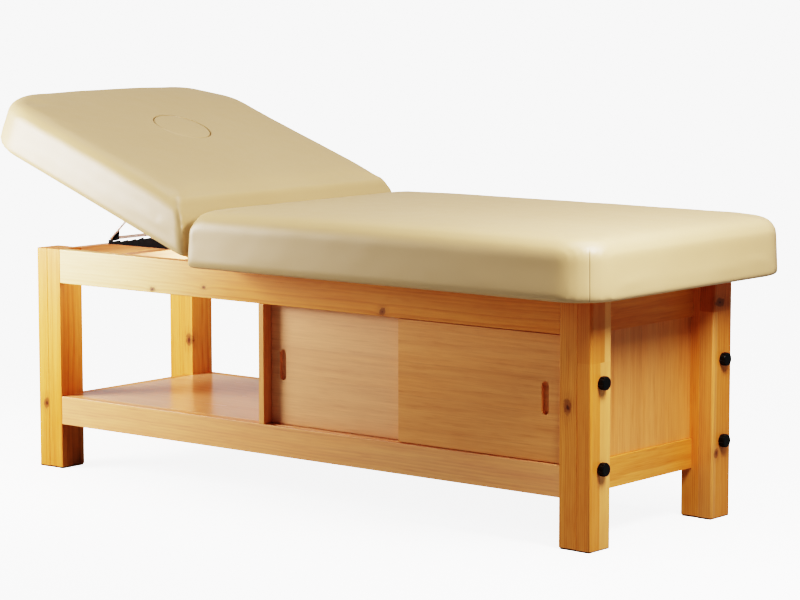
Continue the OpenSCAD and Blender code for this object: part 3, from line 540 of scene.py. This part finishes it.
def finish_node(name, material, ease=0.0):
    """Gives a carried-over solid its material, and eases its edges where it is wood."""
    obj = frame["nodes"][name]
    obj.data.materials.clear()
    obj.data.materials.append(material)
    if ease:
        weld = obj.modifiers.new("Joined faces", "WELD")
        weld.merge_threshold = 0.00001
        bevel = obj.modifiers.new("Eased edges", "BEVEL")
        bevel.width = ease
        bevel.segments = 2
        bevel.limit_method = "ANGLE"
        bevel.angle_limit = math.radians(40)
        bevel.harden_normals = True


def pine_node(name, grain, start, ease, **looks):
    finish_node(name, pine_material("Pine, " + name.replace("_", " "), grain, start, **looks), ease)


# Mesh helpers
def object_from(bm, name, material):
    mesh = bpy.data.meshes.new(name)
    bm.normal_update()
    bm.to_mesh(mesh)
    bm.free()
    obj = bpy.data.objects.new(name, mesh)
    bpy.context.collection.objects.link(obj)
    if material:
        mesh.materials.append(material)
    for face in mesh.polygons:
        face.use_smooth = True
    return obj


def applied(obj):
    """Bakes the object's modifiers into its mesh."""
    graph = bpy.context.evaluated_depsgraph_get()
    graph.update()
    mesh = bpy.data.meshes.new_from_object(obj.evaluated_get(graph))
    old = obj.data
    obj.modifiers.clear()
    obj.data = mesh
    bpy.data.meshes.remove(old)
    return obj


# A pad is made with X from its hinge end and Z from its underside. Its form is the shoulder's height, the
# crown over it, the taper, the roll of the far corners, and the roll at the hinge end with its reach and
# the share of the shoulder at which it starts.
PadForm = namedtuple("PadForm", "shoulder crown taper corner_roll hinge_roll roll_reach roll_start")
UNDERSIDE = 0.0012
# The vinyl is held to the base below this height, and filled for this many frames
HELD_BELOW = 0.030
FILL_FRAMES = 20
# The vinyl left at the ends of the hollow under a pad
HOLLOW_MARGIN = 0.070


def pad_block(length, far, lean, shoulder, pads):
    """A pad with rounded corners and edges, before it is filled and crowned."""
    inset = pads.start_inset
    half = pads.half_width - inset
    low, high = inset, length - inset
    top = shoulder - inset
    bm = bmesh.new()
    bmesh.ops.create_cube(bm, size=1.0)
    bmesh.ops.scale(bm, vec=(high - low, 2 * half, top - UNDERSIDE), verts=bm.verts)
    bmesh.ops.translate(bm, vec=((low + high) / 2, 0.0, (top + UNDERSIDE) / 2), verts=bm.verts)
    for at_near, radius in ((True, pads.hinge_corner), (False, far)):
        edges = [e for e in bm.edges
                 if abs(e.verts[0].co.z - e.verts[1].co.z) > top / 2
                 and (e.verts[0].co.x < length / 2) == at_near]
        bmesh.ops.bevel(bm, geom=edges, offset=radius - inset, offset_type="OFFSET", segments=14, profile=0.5,
                        affect="EDGES", material=-1, clamp_overlap=False)
    for level, radius, steps in ((top, pads.top_edge, 12), (UNDERSIDE, pads.bottom_edge, 4)):
        edges = [e for e in bm.edges if all(abs(v.co.z - level) < 1e-6 for v in e.verts)]
        bmesh.ops.bevel(bm, geom=edges, offset=radius, offset_type="OFFSET", segments=steps, profile=0.5,
                        affect="EDGES", material=-1, clamp_overlap=False)
    for v in bm.verts:
        share = max(0.0, 1.0 - max(0.0, v.co.x - low) / 0.30)
        v.co.x += lean * v.co.z * share
    return bm


def cut_with(obj, cutter):
    cut = obj.modifiers.new("Cut", "BOOLEAN")
    cut.operation = "DIFFERENCE"
    cut.object = cutter
    cut.solver = "EXACT"
    applied(obj)
    bpy.data.objects.remove(cutter)


def box_piece(name, low, high):
    bm = bmesh.new()
    bmesh.ops.create_cube(bm, size=1.0)
    size = Vector(high) - Vector(low)
    bmesh.ops.scale(bm, vec=size, verts=bm.verts)
    bmesh.ops.translate(bm, vec=(Vector(high) + Vector(low)) / 2, verts=bm.verts)
    return object_from(bm, name, None)


def turned_piece(name, profile, material):
    """A solid of revolution about the Z axis: profile is radius and height pairs from pole to pole."""
    bm = bmesh.new()
    chain = [bm.verts.new((r, 0.0, z)) for r, z in profile]
    edges = [bm.edges.new(pair) for pair in zip(chain, chain[1:])]
    bmesh.ops.spin(bm, geom=chain + edges, cent=(0, 0, 0), axis=(0, 0, 1), angle=2 * math.pi, steps=96,
                   use_merge=True)
    bmesh.ops.remove_doubles(bm, verts=bm.verts, dist=1e-6)
    bmesh.ops.recalc_face_normals(bm, faces=bm.faces)
    return object_from(bm, name, material)


def remeshed(obj, voxel):
    step = obj.modifiers.new("Even mesh", "REMESH")
    step.mode = "VOXEL"
    step.voxel_size = voxel
    step.use_smooth_shade = True
    return applied(obj)


def filled_with_foam(obj, pads):
    """Cloth pressure swells the vinyl over its foam, held to the base and never past the swell limit."""
    start = [v.co.copy() for v in obj.data.vertices]
    held = obj.vertex_groups.new(name="held")
    firm = [v.index for v in obj.data.vertices if v.co.z < HELD_BELOW]
    held.add(firm, 1.0, "REPLACE")
    cloth = obj.modifiers.new("Fill", "CLOTH")
    settings = cloth.settings
    settings.quality = 4
    settings.mass = 0.4
    settings.tension_stiffness = 40.0
    settings.compression_stiffness = 40.0
    settings.shear_stiffness = 20.0
    settings.bending_stiffness = 8.0
    settings.use_pressure = True
    settings.uniform_pressure_force = 4.0
    settings.vertex_group_mass = "held"
    settings.effector_weights.gravity = 0.0
    cloth.collision_settings.use_collision = False
    scene = bpy.context.scene
    cloth.point_cache.frame_start = 1
    cloth.point_cache.frame_end = FILL_FRAMES
    for number in range(1, FILL_FRAMES + 1):
        scene.frame_set(number)
    graph = bpy.context.evaluated_depsgraph_get()
    done = obj.evaluated_get(graph).to_mesh()
    moved = [v.co.copy() for v in done.vertices]
    obj.evaluated_get(graph).to_mesh_clear()
    obj.modifiers.clear()
    scene.frame_set(1)
    for vertex, was, now in zip(obj.data.vertices, start, moved):
        step = now - was
        if step.length > pads.swell:
            step.length = pads.swell
        vertex.co = was + step * eased(was.z, HELD_BELOW - 0.015, HELD_BELOW + 0.065)
    obj.vertex_groups.clear()


def eased(value, low, high):
    share = min(1.0, max(0.0, (value - low) / (high - low)))
    return share * share * (3 - 2 * share)


def crowned(obj, length, lean, pads, form):
    """Domes and tapers the top, draws the long sides in and keeps the hinge end inside its leaning face."""
    half = pads.half_width
    full = form.shoulder * 0.95
    for vertex in obj.data.vertices:
        x, y, z = vertex.co
        along = min(1.0, max(0.0, x / length))
        dome = (1.0 - abs(2 * along - 1) ** 6) * (1.0 - abs(y / half) ** 5)
        corner = eased(x, length - 0.17, length - 0.03) * (0.35 + 0.65 * eased(abs(y), 0.08, 0.30))
        rise = form.crown * dome - form.taper * along - form.corner_roll * corner
        near = max(0.0, 1.0 - max(0.0, x - lean * z) / form.roll_reach)
        near = 1.0 - math.sqrt(max(0.0, 1.0 - near * near))
        near *= eased(z, form.shoulder * form.roll_start, full)
        vertex.co.z += rise * eased(z, form.shoulder * 0.45, full) - form.hinge_roll * near
        side = eased(abs(y), half - 0.075, half)
        vertex.co.y -= math.copysign(0.0022, y) * side * math.sin(math.pi * along)
        wave = noise.noise(Vector((x * 5.0, y * 5.0, z * 9.0))) * 0.0009
        wave += noise.noise(Vector((x * 15.0, y * 15.0, z * 22.0))) * 0.00045
        if z > 0.03:
            vertex.co += vertex.normal * wave
        vertex.co.x = max(vertex.co.x, lean * vertex.co.z + 0.0008)


def placed(obj, matrix):
    """Moves a mesh to its place, and keeps it right side out where the place is mirrored."""
    obj.data.transform(matrix)
    if matrix.is_negative:
        obj.data.flip_normals()
    obj.data.update()


def pad_piece(name, length, far, lean, pads, form, hollow, matrix, material):
    """A vinyl cover: far is its far corners' radius, lean its hinge face's, hollow the box cut from below."""
    obj = object_from(pad_block(length, far, lean, form.shoulder, pads), name, None)
    remeshed(obj, pads.voxel)
    filled_with_foam(obj, pads)
    crowned(obj, length, lean, pads, form)
    smooth = obj.modifiers.new("Smooth", "SUBSURF")
    smooth.levels = smooth.render_levels = 1
    applied(obj)
    cut_with(obj, box_piece("hollow", *hollow))
    placed(obj, matrix)
    obj.data.materials.clear()
    obj.data.materials.append(material)
    for face in obj.data.polygons:
        face.use_smooth = True
    return obj


def head_place(pads):
    """From the head pad's own reach and height to its raised place."""
    return (Matrix.Translation(HINGE_AXIS) @ Matrix.Rotation(HEAD_TILT, 4, "Y")
            @ Matrix.Diagonal((-1.0, 1.0, 1.0, 1.0)) @ Matrix.Translation((0.0, 0.0, pads.base_lift)))


def hole_place(pads):
    return head_place(pads) @ Matrix.Translation((pads.hole_reach, 0.0, 0.0))


def level_at_hole(obj, pads):
    """Height of the finished head pad's surface round the breathing hole, over its underside."""
    back = head_place(pads).inverted()
    ring = pads.hole_radius + 0.007
    heights = []
    for vertex in obj.data.vertices:
        own = back @ vertex.co
        away = math.hypot(own.x - pads.hole_reach, own.y) - ring
        if own.z > pads.head_shoulder * 0.8 and abs(away) < 0.008:
            heights.append(own.z)
    return sum(heights) / len(heights)


class SPABED_OT_foot_cushion(bpy.types.Operator):
    """Make the flat foot cushion with its wrapped edge"""
    bl_idname = "spabed.foot_cushion"
    bl_label = "Foot cushion"

    def execute(self, context):
        pads = context.scene.spa_bed_pads
        corner_x = FLAT_HIGH.x - pads.foot_corner
        corner_y = pads.half_width - pads.foot_corner
        turn = math.radians(42)
        seams = []
        for side in (-1, 1):
            out = Vector((math.cos(turn), side * math.sin(turn), 0.0))
            point = Vector((corner_x, side * corner_y, 0.0)) + out * pads.foot_corner
            seams.append((point, Vector((-out.y, out.x, 0.0)), FLAT_LOW.z + 0.004, FLAT_LOW.z + 0.122))
        material = vinyl_material("Cream vinyl, foot pad", seams)
        place = Matrix.Translation((FLAT_LOW.x, 0.0, FLAT_LOW.z))
        hollow_end = pads.foot_length - HOLLOW_MARGIN
        hollow = ((0.0045, -pads.hollow_half, -0.01), (hollow_end, pads.hollow_half, pads.hollow_depth))
        form = PadForm(shoulder=pads.foot_shoulder, crown=pads.foot_crown, taper=0.0, corner_roll=0.0,
                       hinge_roll=pads.foot_roll, roll_reach=0.058, roll_start=0.15)
        obj = pad_piece("foot_cushion", pads.foot_length, pads.foot_corner, 0.0, pads, form, hollow, place,
                        material)
        # The hinge straps swing up beside the pad's lower hinge edge
        strap_y = 0.150
        relief = Vector((0.006, 0.018, 0.014))
        for side in (-1, 1):
            middle = Vector((FLAT_LOW.x, side * strap_y, FLAT_LOW.z))
            cut_with(obj, box_piece("strap_relief", middle - relief, middle + relief))
        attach(obj, "frame")
        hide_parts("flat_cushion", "flat_band")
        return {"FINISHED"}


class SPABED_OT_head_cushion(bpy.types.Operator):
    """Make the raised head cushion with its breathing hole"""
    bl_idname = "spabed.head_cushion"
    bl_label = "Head cushion"

    def execute(self, context):
        pads = context.scene.spa_bed_pads
        material = vinyl_material("Cream vinyl, head pad")
        length = pads.head_reach - pads.hinge_face
        lean = math.tan(pads.hinge_lean)
        place = head_place(pads) @ Matrix.Translation((pads.hinge_face, 0.0, 0.0))
        hollow_end = length - HOLLOW_MARGIN
        hollow = ((0.071, -pads.hollow_half, -0.01), (hollow_end, pads.hollow_half, pads.hollow_depth))
        form = PadForm(shoulder=pads.head_shoulder, crown=pads.head_crown, taper=pads.head_taper,
                       corner_roll=pads.head_roll, hinge_roll=pads.hinge_roll,
                       roll_reach=0.13, roll_start=0.45)
        obj = pad_piece("head_cushion_cover", length, pads.head_corner, lean, pads, form, hollow, place,
                        material)
        top = level_at_hole(obj, pads)
        obj["level_at_hole"] = top
        # The hole is cut from inside the hollow straight up, and out over a rounded lip
        start, clear = 0.034, 0.03
        lip = ((0.0, -0.004), (0.0004, -0.0020), (0.0016, -0.0004), (0.003, 0.0006), (0.004, clear))
        profile = [(0.0, start), (pads.hole_radius, start)]
        profile += [(pads.hole_radius + out, top + up) for out, up in lip]
        profile.append((0.0, top + clear))
        cutter = turned_piece("hole_cutter", profile, None)
        placed(cutter, hole_place(pads))
        cut_with(obj, cutter)
        obj.data.set_sharp_from_angle(angle=math.radians(50))
        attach(obj, "head_section")
        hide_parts("head_cushion", "head_band")
        return {"FINISHED"}


class SPABED_OT_face_plug(bpy.types.Operator):
    """Make the loose plug that fills the breathing hole"""
    bl_idname = "spabed.face_plug"
    bl_label = "Face plug"

    def execute(self, context):
        pads = context.scene.spa_bed_pads
        top = bpy.data.objects["head_cushion_cover"]["level_at_hole"] + 0.0004
        r = pads.hole_radius - 0.0012
        edge = 0.004
        edge_steps = 6
        bottom = 0.0405
        profile = [(0.0, bottom), (r - edge, bottom), (r - 0.0006, 0.046), (r, 0.070), (r, top - edge)]
        for step in range(1, edge_steps + 1):
            a = math.radians(90 * step / edge_steps)
            profile.append((r - edge * (1 - math.cos(a)), top - edge + (edge - 0.0008) * math.sin(a)))
        profile += [(r * 0.62, top - 0.0002), (r * 0.3, top), (0.0, top)]
        obj = turned_piece("face_plug_cover", profile, vinyl_material("Cream vinyl, plug"))
        placed(obj, hole_place(pads))
        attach(obj, "face_plug")
        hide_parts("face_plug_cushion")
        return {"FINISHED"}


class SPABED_OT_frame_boards(bpy.types.Operator):
    """Finish the legs, rails and battens in lacquered pine"""
    bl_idname = "spabed.frame_boards"
    bl_label = "Frame boards"

    def execute(self, context):
        def knot(x, y, z, radius, stretch=(1.0, 1.0, 1.0)):
            return ((x + FOOT_SHIFT, y, z), radius, stretch)

        upright = (1.0, 1.0, 0.8)
        slanted = (1.25, 1.0, 0.75)
        front_strips = ((-0.223, -0.19, 0.405, 0.60, 0.28), (-0.300, -0.223, 0.405, 0.60, -0.42),
                        (-0.238, -0.19, -0.1, 0.405, 0.22), (-0.300, -0.238, -0.1, 0.405, -0.28))
        # On the back foot leg board the narrow pale strip by the edge is a painted highlight, and the darker
        # strip at the top is painted shadow under the pad
        back_painted_light = ((0.196, 0.212, -0.1, 0.470, 0.16), (0.19, 0.30, 0.470, 0.60, -0.35))
        # Each leg's start in the tree, its tone, its knots and its strips: glued laminations on the front
        # foot board, a painted highlight and a painted shadow on the back foot board
        legs = {
            "post_head_front": (0.31, 0.0, (), ()),
            "post_head_back": (0.92, 0.0, (knot(-0.770, 0.197, 0.272, 0.015, upright),), ()),
            "post_foot_front": (1.73, -0.15, (knot(0.780, -0.271, 0.310, 0.015, slanted),), ()),
            "post_foot_back": (2.41, -0.20, (), ()),
            "leg_board_head_front": (3.12, 0.0, (knot(-0.812, -0.271, 0.160, 0.013, upright),), ()),
            "leg_board_head_back": (3.87, 0.0, (), ()),
            "leg_board_foot_front": (4.55, 0.0, (), front_strips),
            "leg_board_foot_back": (5.21, -0.50, (knot(0.841, 0.222, 0.490, 0.015, (1.0, 0.7, 1.3)),
                                                  knot(0.841, 0.212, 0.150, 0.010, upright)), back_painted_light),
        }
        for name, (start, tone, knots, strips) in legs.items():
            y, z = start * 0.37, start * 0.21
            pine_node(name, "Z", (start, y, z), 0.0016, tone=tone, heart=(0.0, 0.9 * y + 0.03, z - 0.10),
                      ring=0.0052, knots=knots, dark_foot=name.startswith("leg_board"), strips=strips)
        upper_knots = (knot(0.270, -0.271, 0.4725, 0.0105),
                       knot(-0.443, -0.271, 0.470, 0.009, (0.8, 1.0, 1.4)),
                       knot(-0.276, -0.271, 0.487, 0.006, (0.8, 1.0, 1.2)))
        # Each rail's start in the tree, its tone, its knots and the stretch of X over which it turns paler
        rails = {
            "rail_upper_front": (0.7, -0.08, upper_knots, (FOOT_SHIFT - 0.10, FOOT_SHIFT - 0.70)),
            "rail_upper_back": (1.9, 0.0, (), None),
            "rail_lower_front": (2.6, 0.12, (), None),
            "rail_lower_back": (3.3, 0.0, (), None),
        }
        for name, (start, tone, knots, sapwood) in rails.items():
            y, z = start * 0.4, start * 0.13
            pine_node(name, "X", (start, y, z), 0.0016, tone=tone, heart=(0.0, y - 0.20, z + 0.36),
                      ring=0.0075, knots=knots, sapwood=sapwood)
        for count, name in enumerate(("end_rail_upper_head", "end_rail_upper_foot", "end_rail_lower_head",
                                      "end_rail_lower_foot", "rack_bearer", "flat_batten_foot",
                                      "flat_batten_hinge", "head_batten_end", "head_batten_hinge")):
            start = 0.55 + 0.83 * count
            y, z = start * 0.3, start * 0.2
            # The end rail and rack bearer under the raised head pad are toned paler: painted light, standing
            # in for the strong light that reaches in under the pad.
            tone = 0.18 if name in ("end_rail_upper_head", "rack_bearer") else 0.0
            pine_node(name, "Y", (start, y, z), 0.0014, tone=tone, heart=(0.0, y + 0.60, z + 0.42),
                      ring=0.0065)
        for count, name in enumerate(("floor_cleats", "door_track", "flat_batten_front", "flat_batten_back",
                                      "head_batten_front", "head_batten_back")):
            start = 0.35 + 0.71 * count
            pine_node(name, "X", (start, start * 0.2, start * 0.1), 0.0012)
        return {"FINISHED"}


class SPABED_OT_cabinet(bpy.types.Operator):
    """Finish the doors, panels, floor and decks"""
    bl_idname = "spabed.cabinet"
    bl_label = "Cabinet"

    def execute(self, context):
        # Staves of this length run through any board
        through = 40.0
        for name, label, grain, start, strip, length, tone, gloss, ease in (
                ("door_left", "left door", "X", (0.4, 0.0, 0.02), 0.070, through, 0.11, 0.0, 0.0010),
                ("door_right", "right door", "X", (1.7, 0.0, 0.05), 0.075, through, -0.06, 0.0, 0.0010),
                ("end_panel", "end panel", "Z", (0.3, 0.4, 0.0), 0.045, through, -0.26, 0.0, 0.0008),
                ("floor_board", "floor", "X", (2.3, 0.1, 0.0), 0.085, through, 0.14, 0.16, 0.0010),
                ("partition", "partition", "Z", (1.1, 0.7, 0.0), 0.060, 0.60, 0.0, 0.0, 0.0010)):
            material = glued_material("Glued board, " + label, grain, start, strip, length, tone, gloss=gloss)
            finish_node(name, material, ease)
        for name, start in (("back_panel", (0.9, 0.2, 0.1)), ("cabinet_top", (1.4, 0.3, 0.0)),
                            ("flat_deck", (2.9, 0.5, 0.0)), ("head_deck", (3.6, 0.2, 0.0)),
                            ("face_plug_board", (4.1, 0.1, 0.0))):
            label = "Plywood, " + name.replace("_", " ")
            finish_node(name, glued_material(label, "X", start, 0.4, 3.0, 0.12, ring=0.014))
        return {"FINISHED"}


class SPABED_OT_metalwork(bpy.types.Operator):
    """Finish the hinges, bail, racks, tracks, knobs and feet"""
    bl_idname = "spabed.metalwork"
    bl_label = "Metalwork and plastic"

    def execute(self, context):
        plated = hard_material("Bright zinc plate", (0.86, 0.86, 0.85, 1.0), 0.40, 0.6)
        black = hard_material("Black painted steel", (0.010, 0.009, 0.009, 1.0), 0.60, shine=0.04)
        for name in ("hinge_leaves", "hinge_straps", "bail", "bail_brackets"):
            finish_node(name, plated)
        for name in ("racks", "bail_pawls"):
            finish_node(name, black)
        finish_node("leg_tracks", hard_material("Mill finish aluminium", (0.68, 0.69, 0.70, 1.0), 0.36, 1.0))
        finish_node("post_feet", hard_material("Dark rubber", RUBBER, 0.78, relief=0.2))
        moulded = hard_material("Black moulded plastic", (0.004, 0.004, 0.004, 1.0), 0.30,
                                coat=0.10, size=160.0, shine=0.2)
        for name in sorted(n for n in frame["nodes"] if n.startswith("knob_")):
            finish_node(name, moulded)
        return {"FINISHED"}


# Each round lamp's name, place, aim, width, power in watts and spread in degrees
LAMPS = (
    ("key_left", (-1.45, -1.1, 0.85), (-0.8, -0.3, 0.50), 0.8, 18.5, 120),
    ("fill_right", (1.63, -0.43, 1.52), (0.9, 0.0, 0.5), 0.6, 33.0, 180),
    ("under_head", (-0.26, -0.06, 0.505), (-0.80, -0.03, 0.515), 0.12, 0.80, 90),
)


def add_lamp(name, kind, power, place, direction):
    light = bpy.data.lights.new(name, kind)
    light.energy = power
    lamp = bpy.data.objects.new(name, light)
    lamp.location = place
    lamp.rotation_euler = direction.to_track_quat("-Z", "Y").to_euler()
    bpy.context.collection.objects.link(lamp)
    return lamp


class SPABED_OT_stage(bpy.types.Operator):
    """Set the floor, the lights and the camera"""
    bl_idname = "spabed.stage"
    bl_label = "Stage"

    def execute(self, context):
        scene = context.scene
        scene.view_settings.view_transform = "Filmic"
        scene.view_settings.look = "Very High Contrast"
        bm = bmesh.new()
        bmesh.ops.create_grid(bm, x_segments=1, y_segments=1, size=200.0)
        floor_material, g, shader, place = new_material("Pale floor")
        sight = g.add("ShaderNodeLightPath").outputs["Is Camera Ray"]
        pale = g.blend(g.noise(place, 0.8), (0.92, 0.92, 0.92, 1.0), (0.94, 0.94, 0.94, 1.0))
        g.put(shader.inputs["Base Color"], g.blend(sight, (0.26, 0.26, 0.26, 1.0), pale))
        shader.inputs["Roughness"].default_value = 0.9
        shader.inputs["Emission Color"].default_value = WHITE
        g.put(shader.inputs["Emission Strength"], g.maths("MULTIPLY", sight, 2.1))
        floor = object_from(bm, "floor", floor_material)
        world = bpy.data.worlds.new("White studio")
        world.use_nodes = True
        w = Graph(world.node_tree)
        path = w.add("ShaderNodeLightPath").outputs
        backdrop = world.node_tree.nodes["Background"]
        w.put(backdrop.inputs[0], WHITE)
        seen = w.maths("MULTIPLY_ADD", path["Is Camera Ray"], 2.90, 0.04)
        w.put(backdrop.inputs[1], w.maths("MULTIPLY_ADD", path["Is Glossy Ray"], 0.40, seen))
        scene.world = world
        sun = add_lamp("overhead", "SUN", 2.25, (0.0, 0.0, 0.0), Vector((-0.15, -0.10, -0.985)))
        sun.data.angle = math.radians(50)
        for name, place, aim, size, power, spread in LAMPS:
            lamp = add_lamp(name, "AREA", power, place, Vector(aim) - Vector(place))
            lamp.data.shape = "DISK"
            lamp.data.size = size
            lamp.data.spread = math.radians(spread)
            lamp.visible_camera = False
        camera = bpy.data.cameras.new("camera")
        camera.sensor_width = 36.0
        camera.lens = 127.0
        camera.clip_end = 100.0
        eye = bpy.data.objects.new("camera", camera)
        eye.location = (4.2541 + FOOT_SHIFT, -5.0638, 1.2516)
        eye.rotation_euler = (math.radians(90.0 - 6.89), math.radians(0.05), math.radians(39.367))
        context.collection.objects.link(eye)
        scene.camera = eye
        return {"FINISHED"}


class SPABED_PT_panel(bpy.types.Panel):
    """The spa bed's pieces in the sidebar"""
    bl_label = "Spa Bed"
    bl_idname = "SPABED_PT_panel"
    bl_space_type = "VIEW_3D"
    bl_region_type = "UI"
    bl_category = "Spa Bed"

    def draw(self, context):
        layout = self.layout
        for settings in (context.scene.spa_bed_pads, context.scene.spa_bed_colours):
            column = layout.column()
            for key in settings.__annotations__:
                column.prop(settings, key)
        for operator in OPERATORS:
            layout.operator(operator.bl_idname)


OPERATORS = (
    SPABED_OT_stage, SPABED_OT_frame_boards, SPABED_OT_cabinet, SPABED_OT_metalwork,
    SPABED_OT_foot_cushion, SPABED_OT_head_cushion, SPABED_OT_face_plug,
)
CLASSES = (SpaBedPadSettings, SpaBedColourSettings) + OPERATORS + (SPABED_PT_panel,)


def register():
    for cls in CLASSES:
        bpy.utils.register_class(cls)
    bpy.types.Scene.spa_bed_pads = bpy.props.PointerProperty(type=SpaBedPadSettings)
    bpy.types.Scene.spa_bed_colours = bpy.props.PointerProperty(type=SpaBedColourSettings)


def unregister():
    del bpy.types.Scene.spa_bed_colours
    del bpy.types.Scene.spa_bed_pads
    for cls in reversed(CLASSES):
        bpy.utils.unregister_class(cls)


def main():
    register()
    for operator in OPERATORS:
        section, name = operator.bl_idname.split(".")
        getattr(getattr(bpy.ops, section), name)()


if __name__ == "__main__":
    main()
